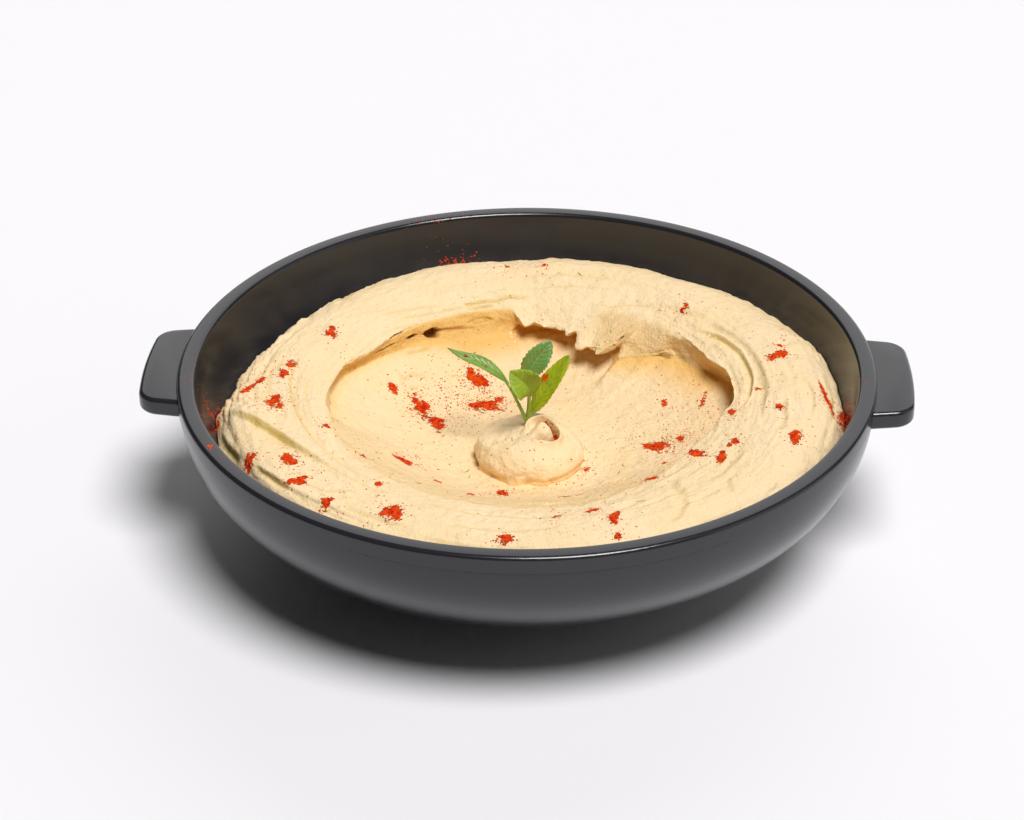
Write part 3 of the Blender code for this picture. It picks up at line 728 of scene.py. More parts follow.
def hummusRelief(points, degrees, zone, along):
    # how far each place stands proud of the plain form, its painted shade in creases and torn
    # holes, how rough it is, and its painted warm shade
    detail, arcs = hummusDetail, hummusArcs
    plan = points[..., :2]
    radius = np.linalg.norm(plan, axis=-1)
    outward = unit(plan, 3)
    degrees = np.broadcast_to(degrees[:, None], radius.shape)
    top = np.where(zone == "outer", smoothStep(along * 5), 1.0) * (zone != "wall")
    tongue, paintedCreaseShade = tongueRelief(plan, degrees, radius)
    marks, markCreaseShade = markRelief(plan)
    swept = raised(outward * 5, radius)
    relief = mixedNoise(points, detail["lumps"]) + tongue + marks + streakRelief(plan, 35)
    relief += detail["streak"] * softNoise(swept, 1.0, 32)
    paintedCreaseShade = np.maximum(paintedCreaseShade, markCreaseShade * 0.8)
    # the broken wall at the back right, and the rougher paste under the flaps and the lip
    wallShare = np.where(zone == "undercut", smoothStep(along * 4) * smoothStep((1 - along) * 3), 0)
    patchy = softNoise(points, 5.0, 46)
    first, rise, last, fall = arcs["brokenWall"]
    broken = within(degrees, first, rise, last + 4 * patchy, fall)
    broken = broken * smoothStep((53 + patchy - radius) / 3.5)
    broken = broken * np.isin(zone, ("shoulder", "undercut"))
    rough = np.maximum(broken, 0.5 * wallShare * smoothStep((radius - 30) / 4))
    grains = 0.8 * softNoise(points, 1.7, 36) + 0.7 * np.abs(softNoise(points, 1.0, 37))
    relief += rough * detail["rough"] * grains
    # the wrinkled outer slope on the left
    slope = within(degrees, *arcs["wrinkles"]) * smoothStep((radius - 68) / 4)
    slope = np.maximum(slope, 0.35 * smoothStep((radius - 75) / 3))
    swept = raised(outward * 9, radius / detail["wrinkleSize"])
    ripples = detail["wrinkle"] * softNoise(swept, 1.0, 38)
    relief += slope * (ripples + detail["crinkle"] * softNoise(points, 1.3, 39))
    pits = [depth * np.abs(softNoise(points, size, seed)) for depth, size, seed in detail["pits"]]
    relief -= sum(pits) * (zone != "wall")
    # painted warm shade: paste that only other paste lights is painted more golden
    plainWall, shaded = within(degrees, *arcs["plainWall"]), within(degrees, *arcs["shade"])
    paintedWarmShade = np.where(zone == "undercut", smoothStep(along * 5) * (0.95 - 0.65 * plainWall), 0)
    paintedWarmShade = paintedWarmShade * (0.3 + 0.7 * shaded)
    cavity = np.maximum(*[within(degrees, *arcs[name]) for name in ("rightCavity", "flapCavity")])
    shade = 0.10 + 0.90 * smoothStep(1 - along / (0.14 + 0.34 * cavity)) * (0.4 + 0.6 * cavity)
    paintedWarmShade = np.where(zone == "dish", shade, np.where(zone == "floor", 0.10, paintedWarmShade))
    paintedWarmShade = np.maximum(paintedWarmShade, (0.42 + 0.14 * softNoise(points, 2.5, 45)) * broken)
    # each torn hollow is cut in and painted dark inside as shade
    paintedDeepShade = np.zeros(radius.shape)
    ragged = 0.35 * softNoise(points, 1.6, 41)
    for angle, halfAngle, middle, half, depth, paintedDarkness in tornHollows:
        aside, onward = (degrees - angle) / halfAngle, (along - middle) / half
        away = np.sqrt(aside ** 2 + onward ** 2) + ragged
        cut = np.where(zone == "undercut", smoothStep((1.1 - away) / 0.25), 0)
        relief -= depth * cut
        paintedDeepShade = np.maximum(paintedDeepShade, paintedDarkness * cut)
    return relief * top, paintedCreaseShade * top, paintedDeepShade * top, rough * top, paintedWarmShade * top


def raggedLip(points, degrees, zone, along, torn):
    # small teeth along the lip, larger on the torn flaps, which die out just above and below it
    nearLip = np.where(zone == "shoulder", smoothStep((along - 0.86) / 0.14), 0.0)
    nearLip = np.where(zone == "undercut", smoothStep(1 - along / 0.22), nearLip)
    back = within(degrees, *hummusArcs["teeth"])
    size = (0.16 + 0.34 * back + torn)[:, None] * nearLip * hummusDetail["teeth"]
    tooth = hummusDetail["toothSize"]
    teeth = softNoise(points, tooth, 11) + 0.5 * softNoise(points, tooth * 2.2, 12)
    drop = softNoise(points, tooth * 1.6, 13)
    points[..., :2] += unit(points[..., :2], 3) * (teeth * size)[..., None]
    points[..., 2] += drop * size * 0.5


def shiftSideways(points, degrees):
    # breaks up the straight edge where the flap grows out of the broken wall
    radius = np.linalg.norm(points[..., :2], axis=-1)
    area = within(degrees, *hummusArcs["slide"])[:, None] * within(radius, 30, 5, 60, 5)
    slide = 0.7 * softNoise(points, 4.5, 15)
    turn = np.radians(degrees)[:, None]
    points[..., 0] -= np.sin(turn) * slide * area
    points[..., 1] += np.cos(turn) * slide * area


# Paprika fell in pinches: (angle, radius) on the plan, then how far it spread across and along, and
# the lean of a long one
paprikaPinches = (
    (156, 31.5, 2.3, 4.8, 25), (119, 33.5, 1.8, 2.6, 20), (117, 30.8, 1.6, 2.6, 30),
    (125, 20.5, 4.4, 2.6, -8), (112, 21.5, 1.2, 1.2, 0), (188, 65.6, 2, 2.8, 0),
    (212.5, 68.2, 2, 2.8, 0), (243, 66.5, 2.3, 3.2, -10), (351, 35.4, 2.8, 3.4, 50),
    (357, 82.4, 1.4, 5.6, -10), (220.5, 71.8, 2.6, 1.5, 30), (153, 60.3, 1.5, 2.6, 20),
    (175, 64.7, 1.3, 1.8, 0), (170, 63.4, 1.2, 1.8, -20), (181, 71.5, 1, 4, -35),
    (155, 40.5, 1.1, 1.6, 20), (214, 37.2, 1.9, 1.5, 10), (14, 67.2, 2.5, 1.6, 30),
    (341, 72.7, 1.7, 2.6, -20), (328, 59, 1.3, 2.2, -10), (328, 50.7, 3.4, 1.3, -25),
    (291, 65.5, 1.2, 2.6, 0), (260, 28.7, 1.3, 2.2, 0), (207, 76.6, 1.2, 2.2, -25),
    (230, 72.7, 1.3, 1.8, -30), (358, 78, 0.8, 6.4, 16), (105, 81, 3.6, 1.2, 8),
    (181, 81, 0.6, 3.2, 0), (187, 81, 0.6, 3, 0), (268, 70.5, 2, 1.3, 0),
    (159, 24.8, 1.3, 1, 0), (351, 53.7, 1.1, 1.2, 0), (336, 58.4, 1, 1.6, 0),
    (17, 48.6, 0.6, 2.6, -15), (356, 40.6, 0.8, 2.2, 0), (23, 39.5, 0.7, 1.6, 0),
    (315, 45.2, 1, 1.6, 0), (200, 53.8, 1, 0.9, 30), (233, 57.3, 0.9, 1.5, 0),
    (216, 49.8, 0.8, 1, 20), (279, 60.1, 0.8, 1.2, 0), (288, 58.9, 1.7, 0.8, 35),
    (290, 71.8, 0.8, 1.4, 0), (319, 21.2, 0.9, 1.2, 0), (46, 60.3, 1, 1.2, -30),
    (352, 66, 1.1, 1, 0), (2, 60.2, 1.1, 0.7, -20), (18, 70, 0.9, 0.6, 0),
    (335, 39.8, 0.9, 0.8, 0), (88, 66.2, 0.8, 0.8, 0), (97, 67.4, 0.6, 0.8, 0),
    (288, 40.3, 3.6, 0.9, 0), (311, 49.2, 1.5, 1.3, 0), (253, 42, 1, 0.9, 0),
    (235, 37.2, 0.9, 1.1, 0),
)

# Thin dust round the pinches: angle and radius of its middle, its spread and its grains
paprikaDust = (
    (125, 24, 5, 110), (116, 30, 4.5, 90), (150, 30, 4.5, 90), (160, 24, 6, 60), (140, 36, 6, 40),
    (210, 34, 4, 50), (190, 24, 7, 50), (355, 38, 4.5, 90), (350, 50, 5, 60), (5, 46, 5, 60),
    (188, 64, 3.5, 50), (178, 70, 4.5, 60), (218, 70, 4, 50), (240, 66, 3.5, 30), (300, 27, 5, 40),
    (106, 81, 4, 50), (112, 86, 2.5, 20), (357, 82, 3, 40), (183, 82, 3, 60), (188, 86, 2, 16),
    (280, 17, 3.5, 24), (250, 17, 3, 16), (20, 68, 5, 30), (210, 88.2, 0.6, 46), (292, 66, 3, 24),
    (102, 82.2, 0.4, 20), (103.5, 82.4, 0.4, 26), (105, 82.6, 0.4, 30), (106.5, 82.7, 0.4, 30),
    (108, 82.8, 0.4, 26), (109.5, 83, 0.3, 14), (109, 85.4, 1.2, 8), (104, 86.4, 1.2, 5),
    (354, 83, 0.7, 50), (357, 83.4, 0.9, 80), (1, 83, 0.7, 40), (184, 82.6, 0.6, 50),
)

# Grains caught on the leaves: leaf, share along it, side, spread and how many
paprikaOnLeaves = (
    (3, 0.56, -0.7, 0.55, 110), (1, 0.1, 0.4, 0.35, 16), (0, 0.42, -0.5, 0.35, 16),
    (0, 0.72, 0.0, 0.3, 10), (0, 0.55, 0.3, 1.2, 8), (2, 0.5, 0.0, 1.5, 6),
)


def pinchStain(plan):
    # each pinch is a few overlapping puffs of powder, thick in the middle and thinning out
    luck = random.Random(71)
    stain = np.zeros(plan.shape[:-1])
    for angle, radius, across, along, lean in paprikaPinches:
        turn = math.radians(-lean)
        x, y = np.moveaxis(plan - polar(angle, radius), -1, 0)
        wide = (x * math.cos(turn) - y * math.sin(turn)) / across
        long = (x * math.sin(turn) + y * math.cos(turn)) / along
        stain = np.maximum(stain, 0.60 * np.exp(-(wide ** 2 + long ** 2) * 0.6))
        for _ in range(4):
            size = luck.uniform(0.45, 0.80)
            aside, onward = luck.gauss(0, 0.42), luck.gauss(0, 0.46)
            puff = ((wide - aside) ** 2 + (long - onward) ** 2) / size ** 2
            stain = np.maximum(stain, np.exp(-puff * 0.9))
    return stain * 1.17 - 0.05


def buildHummus(finish):
    shape = hummusShape
    degrees = np.arange(shape["sides"]) * 360 / shape["sides"]
    section, torn = hummusSections(degrees)
    counts = dict(shape["rows"], wall=shape["rows"]["wall"] + 1)
    zone = np.repeat(list(counts), list(counts.values()))
    along = np.concatenate([np.arange(1, count + 1) / count for count in counts.values()])
    flat = polar(degrees[:, None], section[..., 0])
    points = raised(flat, section[..., 1])
    shiftSideways(points, degrees)
    raggedLip(points, degrees, zone, along, torn)
    around = np.roll(points, -1, axis=0) - np.roll(points, 1, axis=0)
    inward = np.gradient(points, axis=1)
    normals = unit(np.cross(around, inward))
    relief, *shades = hummusRelief(points, degrees, zone, along)
    centre = smoothStep(np.linalg.norm(flat, axis=-1) / 6)
    points += normals * (relief * centre)[..., None]
    reach = np.linalg.norm(points[..., :2], axis=-1)
    room = wallRadius(rimHeight - points[..., 2]) - shape["gap"]
    points[..., :2] *= np.minimum(1, room / np.maximum(reach, 1e-3))[..., None]
    stain = pinchStain(points[..., :2]) * (zone != "wall")
    bm, row, turn = spunRows(len(zone), shape["sides"])
    names = "paintedCreaseShade", "paintedDeepShade", "rough", "paintedWarmShade", "paprika"
    layers = [(name, values[turn, row]) for name, values in zip(names, (*shades, stain))]
    placeVerts(bm, points[turn, row], layers)
    makePiece("hummusMass", bm, finish, "hummus", "hummus")


# Dollop

dollopShape = {
    "sides": 240, "steps": 100,
    "centre": (1.2, -9.2), "radius": 14.2, "height": 9.4, "sunk": 0.8, "power": 2.6,
    # how much lower its right side is, and the slope of the flat it has at the back left
    "lean": 0.30, "flatHeight": 8.3, "flatSlope": (0.24, -0.12),
    # the curl: its centre, then the radius, width and height of its ridge, groove and inner lobe
    "curlCentre": (3.4, -2.2),
    "ridge": (4.5, 0.8, 3.2), "groove": (3.4, 0.75, 3.2), "lobe": (2.6, 3.1),
    "ridgeFrom": 150, "ridgeTo": -85, "grooveFrom": 95, "grooveTo": -95,
    # how wavy its lower edge is and how far it draws in there, then its noises: height, size, seed
    "scallop": 0.06, "tuck": 0.075, "lumps": ((0.3, 5.0, 53), (0.14, 1.6, 54)),
    "sway": ((0.3, 3.2, 55), (0.14, 1.4, 56)),
}


def arcShare(turn, first, last, ease):
    # 1 between two angles, going clockwise from the first, and easing to 0 past its ends
    middle, half = (first + last) / 2, (first - last) / 2
    away = np.abs((turn - middle + 180) % 360 - 180)
    return smoothStep((half - away) / ease + 1)


def curlRelief(plan):
    # a ridge that turns clockwise round a groove and a small lobe, and where the groove is
    shape = dollopShape
    offset = plan - shape["curlCentre"]
    reach = np.linalg.norm(offset, axis=-1)
    turn = np.degrees(np.arctan2(offset[..., 1], offset[..., 0]))
    bend = smoothStep((turn - shape["ridgeTo"]) / (shape["ridgeFrom"] - shape["ridgeTo"]))
    radius, width, rise = shape["ridge"]
    share = arcShare(turn, shape["ridgeFrom"], shape["ridgeTo"], 55)
    ridge = bell(reach - radius, width) * rise * share * (0.45 + 0.55 * bend)
    radius, width, depth = shape["groove"]
    share = arcShare(turn, shape["grooveFrom"], shape["grooveTo"], 40)
    groove = bell(reach - radius, width) * depth * share
    size, height = shape["lobe"]
    inside = bell(reach - radius - 0.2, width * 0.9) * share
    return ridge - groove + height * bell(reach, size), inside


def buildDollop(finish):
    shape = dollopShape
    size, sunk = shape["radius"], shape["sunk"]
    profile = superCurve(size, shape["height"], shape["power"], np.linspace(2, 90, shape["steps"]))
    foot = np.array(((0.0, -sunk), (size + 0.5, -sunk), (size + 0.2, 0.3)))
    radii, heights = np.vstack((foot, profile * (1, -1))).T
    bm, row, turn = spunRows(len(radii), shape["sides"])
    degrees = turn * 360 / shape["sides"]
    radius, height = radii[row], heights[row]
    around = raised(polar(degrees, 12.0), height * 0.6)
    low, lowest = 1 - smoothStep(height / 5), 1 - smoothStep(height / 2.6)
    wavy = 0.025 * softNoise(around, 6.0, 51) + shape["scallop"] * low * softNoise(around, 2.0, 52)
    tuck = shape["tuck"] * lowest * (0.7 + 0.5 * softNoise(around, 2.6, 57))
    plan = polar(degrees, radius * (1 + wavy) * (1 - tuck))
    height = height * (1 - shape["lean"] * smoothStep(plan[:, 0] / size))
    flat = shape["flatHeight"] + plan @ np.array(shape["flatSlope"])
    height = np.where(height > flat - 1, between(height, np.minimum(height, flat), 0.85), height)
    curl, inside = curlRelief(plan)
    height = height + curl * smoothStep(height / 3 - 0.6)
    points = raised(plan, height)
    lift = smoothStep(height / 2)
    points[:, 2] += mixedNoise(points, shape["lumps"]) * lift
    points[:, :2] *= 1 + (mixedNoise(points, shape["sway"]) / size * lift)[:, None]
    points += (*shape["centre"], rimHeight - hummusShape["wellDepth"])
    # painted shade: golden near the foot and in the curl's groove, which is also painted dark and
    # gets paprika stain
    base = 1 - smoothStep((height - 0.3) / 2.6)
    layers = [("paintedDeepShade", inside * 0.5 * smoothStep(height / 3 - 0.6)),
              ("paintedWarmShade", np.maximum(base * 0.5, inside * 0.9)), ("paprika", inside * 0.52)]
    placeVerts(bm, points, layers)
    makePiece("dollopHeap", bm, finish, "hummus", "hummus_dollop")


# Mint

mintShape = {
    "foot": (0.4, -6.6, 34.6), "stemRadius": 0.55, "thickness": 0.3,
    "along": 40, "across": 16, "around": 10,
    "forward": 0.95, "arch": 0.15, "teeth": 11, "quilt": 0.16, "wave": 0.35,
    # the side veins along a blade, and how much they slant
    "veins": 9, "slant": 2.2,
    # each leaf: the bend of its stem, the blade's foot and tip, its width, the way its face looks,
    # its fold, its teeth, its tone from blue-green to lime, and how pointed it is
    "leaves": (
        ((-3.0, 0.8, 6.4), (-5.0, 1.6, 10.0), (-20.8, 6.2, 17.8), 3.4,
         (0.25, -0.55, 1.0), 0.10, 0.05, 0.35, 1.0),
        ((0.6, 1.2, 6.4), (0.2, 2.4, 11.2), (5.9, 6.4, 20.2), 6.6,
         (0.0, -1.0, 0.40), 0.14, 0.16, 0.0, 0.62),
        ((0.7, -0.8, 4.6), (0.9, -1.4, 8.4), (-4.3, -2.4, 16.2), 8.0,
         (0.45, -1.0, 0.35), 0.30, 0.04, 0.80, 0.85),
        ((0.6, 0.0, 1.2), (1.2, 0.2, 2.4), (10.7, 4.4, 17.3), 5.3,
         (-0.35, -1.0, 0.55), 0.16, 0.10, 1.0, 0.62),
    ),
}

mintLook = {
    "blueGreen": (0.15, 0.34, 0.075, 1),
    "lime": (0.34, 0.46, 0.008, 1),
    "dark": (0.10, 0.22, 0.02, 1),
    "vein": (0.38, 0.50, 0.10, 1),
    "roughness": 0.30, "bump": 0.0003, "subsurface": 0.15, "subsurfaceScale": 0.001,
    "cloudScale": 350, "grainScale": 2500,
}


def leafSpine(leaf, steps):
    # the midrib from the start of its stem to the tip, and where on it the blade starts
    bend, bladeFoot, tip, width, face = [np.array(value, float) for value in leaf[:5]]
    start = np.array((0, 0, -0.6))
    stem = cubicCurve(start, between(start, bend, 0.5), bend, bladeFoot, steps)
    onward = unit(bladeFoot - bend) * np.linalg.norm(tip - bladeFoot) * 0.3
    arch = between(bladeFoot, tip, 0.66) + unit(face) * width * mintShape["arch"]
    blade = cubicCurve(bladeFoot, bladeFoot + onward, arch, tip, steps)
    return np.vstack((start[None], stem)), np.vstack((bladeFoot[None], blade))


def framesAlong(line, face):
    # across and up at each place of a line, with up towards the face's side
    ahead = np.gradient(line, axis=0)
    across = unit(np.cross(ahead, face))
    return across, unit(np.cross(across, ahead))


def leafPlace(leaf, share, side):
    # a place on a leaf's blade, in metres
    _, line = leafSpine(leaf, mintShape["along"])
    across, _ = framesAlong(line, np.array(leaf[4], float))
    step = round(share * mintShape["along"])
    return Vector((line[step] + across[step] * side * leaf[3] / 2 + mintShape["foot"]) * mm)


def addBlade(bm, leaf, layers):
    shape = mintShape
    width, face, fold, teeth, tone, pointed = leaf[3:]
    _, line = leafSpine(leaf, shape["along"])
    across, up = framesAlong(line, np.array(face, float))
    steps, rows = shape["along"], shape["across"]
    made = bmesh.ops.create_grid(bm, x_segments=steps, y_segments=rows, size=0.5)
    for vert in made["verts"]:
        step = round((vert.co.x + 0.5) * steps)
        side = vert.co.y * 2
        share = step / steps
        swelling = 0.0
        if 0 < share < 1:
            swelling = math.sin(math.pi * share ** shape["forward"]) ** pointed
        saw = (share * shape["teeth"]) % 1.0
        half = width / 2 * swelling * (1 - teeth * saw * abs(side) ** 3)
        half = max(half, shape["stemRadius"] * 0.8 * (1 - share))
        quilt = math.sin(math.pi * (share * shape["veins"] - abs(side) * shape["slant"])) ** 2
        lift = fold * abs(side) * half * 2 + shape["quilt"] * quilt * (1 - side * side)
        lift += shape["wave"] * math.sin(share * 9 + side * 3) * side * side
        place = line[step] + across[step] * half * side + up[step] * lift * swelling
        vert.co = (place + shape["foot"]) * mm
        vert[layers["leafAlong"]] = share
        vert[layers["leafAcross"]] = side
        vert[layers["leafTone"]] = tone
    thicken(bm, made["verts"], shape["thickness"])


def addStem(bm, leaf, layers):
    shape = mintShape
    stem, blade = leafSpine(leaf, shape["along"] // 2)
    line = np.vstack((stem, blade[1:-6]))  # it runs on under the blade and ends short of the tip
    across, up = framesAlong(line, np.array(leaf[4], float))
    steps = len(line) - 1
    made = bmesh.ops.create_grid(bm, x_segments=steps, y_segments=shape["around"], size=0.5)
    for vert in made["verts"]:
        step = round((vert.co.x + 0.5) * steps)
        turn = (vert.co.y + 0.5) * math.tau
        share = step / steps
        radius = shape["stemRadius"] * (1 - 0.75 * share) if 0 < step < steps else 0.0
        sunk = up[step] * shape["thickness"] * smoothStep(share * 3 - 1)
        ring = (across[step] * math.cos(turn) + up[step] * math.sin(turn)) * radius
        vert.co = (line[step] + ring - sunk + shape["foot"]) * mm
        vert[layers["leafAcross"]] = 0.0
        vert[layers["leafTone"]] = 0.9


def leafFinish():
    shape, look = mintShape, mintLook
    finish = Finish("mintLeaf")
    place = finish.place()
    along = finish.attribute("leafAlong")
    side = finish.attribute("leafAcross")
    away = finish.sum("ABSOLUTE", side)
    ribs = finish.sum("PINGPONG", along * shape["veins"] - away * shape["slant"], 0.5)
    vein = finish.limit(ribs, 0.10, 0.0) * finish.limit(away, 1.0, 0.6)
    midrib = finish.limit(away, 0.10, 0.03)
    lines = finish.sum("MAXIMUM", vein * 0.7, midrib)
    cloud = finish.noise(place, look["cloudScale"], 3)
    colour = finish.tint(finish.attribute("leafTone"), look["blueGreen"], look["lime"])
    colour = finish.tint(finish.limit(cloud, 0.5, 0.8) * 0.5, colour, look["dark"])
    colour = finish.tint(lines * 0.45, colour, look["vein"])
    grain = finish.noise(place, look["grainScale"], 2)
    height = grain * 0.2 - lines * 0.5 + cloud
    shine = look["roughness"] + (grain - 0.5) * 0.2 + cloud * 0.1
    return finish.close(colour, shine, height, look["bump"], Subsurface_Weight=look["subsurface"],
                        Subsurface_Scale=look["subsurfaceScale"])


def buildMint():
    bm = bmesh.new()
    names = "leafAlong", "leafAcross", "leafTone"
    layers = {name: bm.verts.layers.float.new(name) for name in names}
    for leaf in mintShape["leaves"]:
        addBlade(bm, leaf, layers)
        addStem(bm, leaf, layers)
    bmesh.ops.remove_doubles(bm, verts=bm.verts, dist=2 * mergeDistance)
    makePiece("mintLeaves", bm, leafFinish(), "mint_leaf", "mint_sprig")


# Paprika, pepper flecks, herbs and crumbs

scatterShape = {
    "dropHeight": 200,
    "grainsPerArea": 4.0, "grainSize": (0.20, 0.62), "speckSize": (0.16, 0.56),
    "looseGrains": 1500, "flecks": 900, "fleckSize": (0.16, 0.42),
    "fleckReach": 78, "crumbs": 150, "crumbSize": (0.35, 1.1), "crumbArc": (28, 112),
    # patches of flecks: angle, radius and spread
    "fleckPatches": ((130, 27, 9), (130, 27, 9), (2, 37, 8), (200, 55, 22), (20, 45, 25)),
    "herbSpots": (
        (205, 31), (230, 49), (238, 48), (227, 22), (235, 24), (332, 29), (78, 63), (359, 36),
        (324, 30), (231, 74), (256, 14), (60, 43), (140, 38), (300, 60), (190, 50)),
    "herbLength": (1.6, 3.4), "herbBend": (-0.5, 0.5),
}

# Each powder's two colours and its roughness
powderLook = {
    "paprikaPowder": ((0.42, 0.012, 0.002, 1), (0.88, 0.10, 0.003, 1), 0.85),
    "pepperFleck": ((0.16, 0.026, 0.008, 1), (0.42, 0.12, 0.03, 1), 0.7),
    "driedHerb": ((0.20, 0.17, 0.03, 1), (0.42, 0.36, 0.08, 1), 0.6),
    "shadeScale": 700, "grainScale": 4000, "bump": 0.0001, "specular": 0.05,
}


def lumpMesh(seed, subdivisions, squash, roughness):
    # a small uneven lump, a millimetre across when it is scaled by mm
    bm = bmesh.new()
    bmesh.ops.create_icosphere(bm, subdivisions=subdivisions, radius=0.5)
    luck = random.Random(seed)
    for vert in bm.verts:
        vert.co *= luck.uniform(1 - roughness, 1 + roughness)
    bmesh.ops.scale(bm, verts=bm.verts, vec=(1, 1, squash))
    return meshFrom(bm, "lump")


def highest(plan):
    # the top surface at a place on the plan, and its normal
    found = None
    above = Vector((*plan, scatterShape["dropHeight"])) * mm
    down = Vector((0, 0, -1))
    for surface in surfaces.values():
        point, normal, _, _ = surface.ray_cast(above, down)
        if point is not None and (found is None or point.z > found[0].z):
            found = point, normal
    return found


def lay(bm, mesh, spot, size, luck, sink=0.1):
    # adds a copy of a lump on a surface's point, sunk in by a share of its size
    point, normal = spot
    turn = Matrix.Rotation(luck.uniform(0, 6.28), 4, "Z")
    lie = normal.to_track_quat("Z", "Y").to_matrix().to_4x4() @ turn
    stretch = Matrix.Diagonal((luck.uniform(0.8, 1.5), 1, 1, 1))
    middle = point - normal * size * mm * sink
    place = Matrix.Translation(middle) @ lie @ Matrix.Scale(size * mm, 4) @ stretch
    mesh.transform(place)
    bm.from_mesh(mesh)
    mesh.transform(place.inverted())


def settle(bm, mesh, plan, size, luck, sink=0.1):
    spot = highest(plan)
    if spot is not None:
        lay(bm, mesh, spot, size, luck, sink)


def strewn(luck, angle, radius, spread, stretch=1.0):
    # a random place on the plan round this one
    return polar(angle, radius) + (luck.gauss(0, spread), luck.gauss(0, spread * stretch))


def powderFinish(name):
    first, second, roughness = powderLook[name]
    finish = Finish(name)
    place = finish.place()
    shade = finish.limit(finish.noise(place, powderLook["shadeScale"], 2), 0.35, 0.65)
    colour = finish.tint(shade, first, second)
    grain = finish.noise(place, powderLook["grainScale"], 2)
    return finish.close(colour, roughness + (grain - 0.5) * 0.1, grain, powderLook["bump"],
                        Specular_IOR_Level=powderLook["specular"])


def buildPaprika():
    luck = random.Random(61)
    shapes = [lumpMesh(seed, 1, 0.6, 0.28) for seed in range(4)]
    grainSize, speckSize = scatterShape["grainSize"], scatterShape["speckSize"]
    bm = bmesh.new()
    for angle, radius, across, along, lean in paprikaPinches:
        cos, sin = math.cos(math.radians(-lean)), math.sin(math.radians(-lean))
        for _ in range(round(across * along * scatterShape["grainsPerArea"] * math.pi)):
            wide, long = luck.gauss(0, 0.6) * across, luck.gauss(0, 0.6) * along
            spot = polar(angle, radius) + (wide * cos + long * sin, long * cos - wide * sin)
            settle(bm, luck.choice(shapes), spot, luck.uniform(*grainSize), luck)
    for _ in range(scatterShape["looseGrains"]):
        angle, radius = luck.choice(paprikaPinches)[:2]
        spot = strewn(luck, angle, radius, luck.uniform(1.2, 4.5), 1.3)
        if np.linalg.norm(spot) < rimRadius - 6:
            settle(bm, luck.choice(shapes), spot, luck.uniform(*speckSize), luck)
    for angle, radius, spread, count in paprikaDust:
        for _ in range(count):
            spot = strewn(luck, angle, radius, spread)
            if np.linalg.norm(spot) < rimRadius - 1.4:
                size = luck.uniform(*speckSize) * luck.uniform(0.7, 1.2)
                settle(bm, luck.choice(shapes), spot, size, luck)
    for number, share, side, spread, count in paprikaOnLeaves:
        centre = leafPlace(mintShape["leaves"][number], share, side)
        for _ in range(count):
            near = centre + Vector([luck.gauss(0, spread) * mm for _ in range(3)])
            spot = surfaces["mintLeaves"].find_nearest(near)[:2]
            size = luck.uniform(*grainSize) * 0.8
            lay(bm, luck.choice(shapes), spot, size, luck)
    makePiece("paprikaGrains", bm, powderFinish("paprikaPowder"), "hummus")


def buildFlecks():
    luck = random.Random(62)
    shapes = [lumpMesh(seed, 1, 0.5, 0.3) for seed in range(20, 23)]
    bm = bmesh.new()
    for _ in range(scatterShape["flecks"]):
        spot = strewn(luck, *luck.choice(scatterShape["fleckPatches"]))
        if np.linalg.norm(spot) < scatterShape["fleckReach"]:
            settle(bm, luck.choice(shapes), spot, luck.uniform(*scatterShape["fleckSize"]), luck)
    makePiece("pepperFlecks", bm, powderFinish("pepperFleck"), "hummus")


def buildHerbs():
    # short bent slivers of dried herb
    luck = random.Random(63)
    lengths, bends = scatterShape["herbLength"], scatterShape["herbBend"]
    bm = bmesh.new()
    for angle, radius in scatterShape["herbSpots"]:
        point, normal = highest(polar(angle, radius))
        length, bend = luck.uniform(*lengths), luck.uniform(*bends)
        turn = Matrix.Rotation(luck.uniform(0, 6.28), 3, "Z")
        lie = normal.to_track_quat("Z", "Y").to_matrix() @ turn
        made = bmesh.ops.create_grid(bm, x_segments=10, y_segments=2, size=0.5)
        for vert in made["verts"]:
            x, y = vert.co.x, vert.co.y
            narrow = 1 - 4 * x * x
            local = Vector((x * length, (y * 0.4 - bend) * narrow, 0.12 - 0.5 * y * y))
            vert.co = point + lie @ local * mm
        thicken(bm, made["verts"], 0.1)
    makePiece("herbSlivers", bm, powderFinish("driedHerb"), "mint_leaf")


def buildCrumbs(finish):
    # little lumps of hummus along the torn edges
    luck = random.Random(64)
    shapes = [lumpMesh(seed, 2, 0.7, 0.12) for seed in range(30, 34)]
    bm = bmesh.new()
    for _ in range(scatterShape["crumbs"]):
        angle = luck.uniform(*scatterShape["crumbArc"])
        edge = hummusShape["flapRadius" if 54 <= angle <= 98 else "lipRadius"]
        spot = polar(angle, float(readGuide(edge, angle)) + luck.uniform(0.4, 7.0))
        settle(bm, luck.choice(shapes), spot, luck.uniform(*scatterShape["crumbSize"]), luck, 0.15)
    makePiece("hummusCrumbs", bm, finish, "hummus")


# Stage, light and camera

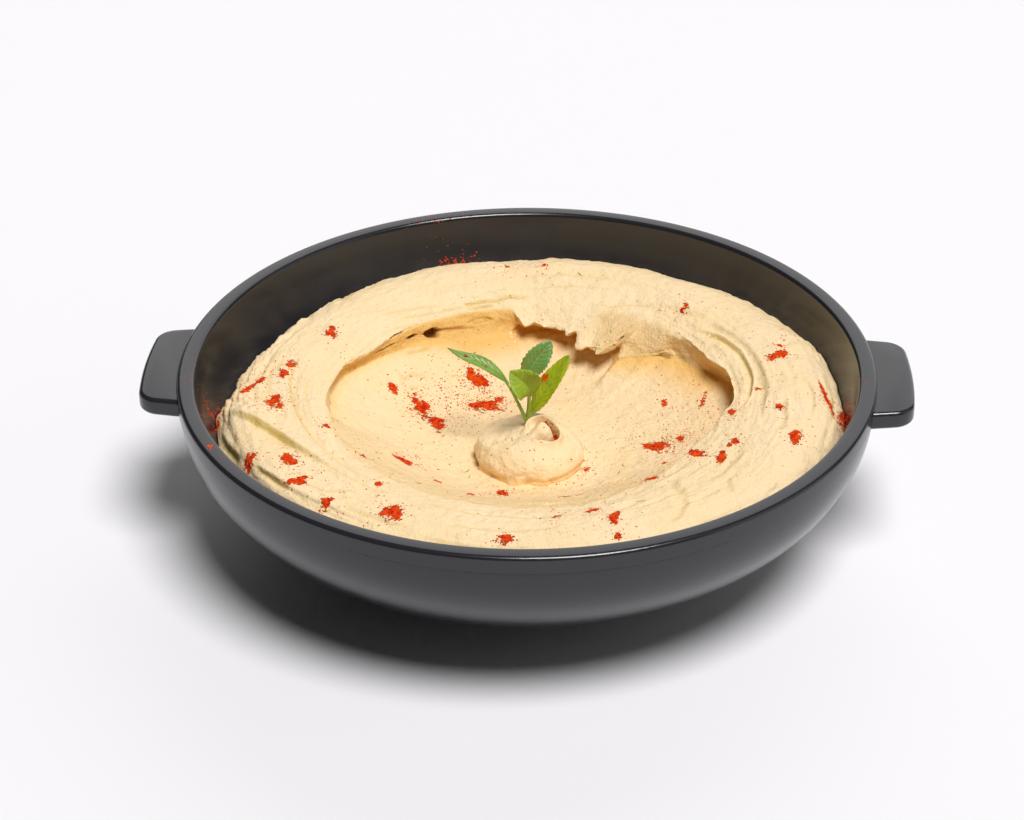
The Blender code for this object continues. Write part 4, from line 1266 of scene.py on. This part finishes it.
stageLook = {
    "floorSize": 4.0, "floor": (0.865, 0.848, 0.865, 1), "floorRoughness": 0.7,
    "world": 0.02,
    # each light: height, turn from the front towards the right, strength and softness
    "lights": ((67, 32, 3.32, 27), (23, 170, 0.92, 60), (18, 85, 0.32, 50)),
}

cameraLook = {
    "azimuth": 2.708, "elevation": 30.914, "roll": -0.374, "distance": 0.705, "lens": 94.72,
    "aim": (-0.00384, -0.0002, 0.03383),
}


def directionTo(turn, height):
    # towards a turn from the front to the right, and a height above the horizon
    turn, height = math.radians(turn), math.radians(height)
    level = math.cos(height)
    return Vector((math.sin(turn) * level, -math.cos(turn) * level, math.sin(height)))


def buildStage():
    bm = bmesh.new()
    bmesh.ops.create_grid(bm, x_segments=8, y_segments=8, size=stageLook["floorSize"])
    floor = addObject("floor", meshFrom(bm, "floor"))
    finish = Finish("paleFloor").close(stageLook["floor"], stageLook["floorRoughness"])
    floor.data.materials.append(finish)


def buildLight():
    world = bpy.data.worlds.new("studio")
    world.use_nodes = True
    background = world.node_tree.nodes["Background"].inputs
    background["Color"].default_value = (1, 1, 1, 1)
    background["Strength"].default_value = stageLook["world"]
    bpy.context.scene.world = world
    for height, turn, strength, softness in stageLook["lights"]:
        lamp = bpy.data.lights.new("softLight", "SUN")
        lamp.energy = strength
        lamp.angle = math.radians(softness)
        light = addObject("softLight", lamp)
        light.rotation_euler = directionTo(turn, height).to_track_quat("Z", "Y").to_euler()


def buildCamera():
    look = cameraLook
    back = directionTo(look["azimuth"], look["elevation"])
    lens = bpy.data.cameras.new("camera")
    lens.lens = look["lens"]
    lens.sensor_width = 36
    lens.clip_end = 20
    camera = addObject("camera", lens)
    camera.location = Vector(look["aim"]) + back * look["distance"]
    roll = Matrix.Rotation(math.radians(look["roll"]), 3, "Z")
    camera.rotation_euler = (back.to_track_quat("Z", "Y").to_matrix() @ roll).to_euler()
    bpy.context.scene.camera = camera
    bpy.context.scene.view_settings.view_transform = "Standard"


buildBowl()
paste = hummusFinish()
buildHummus(paste)
buildDollop(paste)
buildMint()
buildPaprika()
buildFlecks()
buildHerbs()
buildCrumbs(paste)
buildStage()
buildLight()
buildCamera()
print("floor, lights and camera are in place")
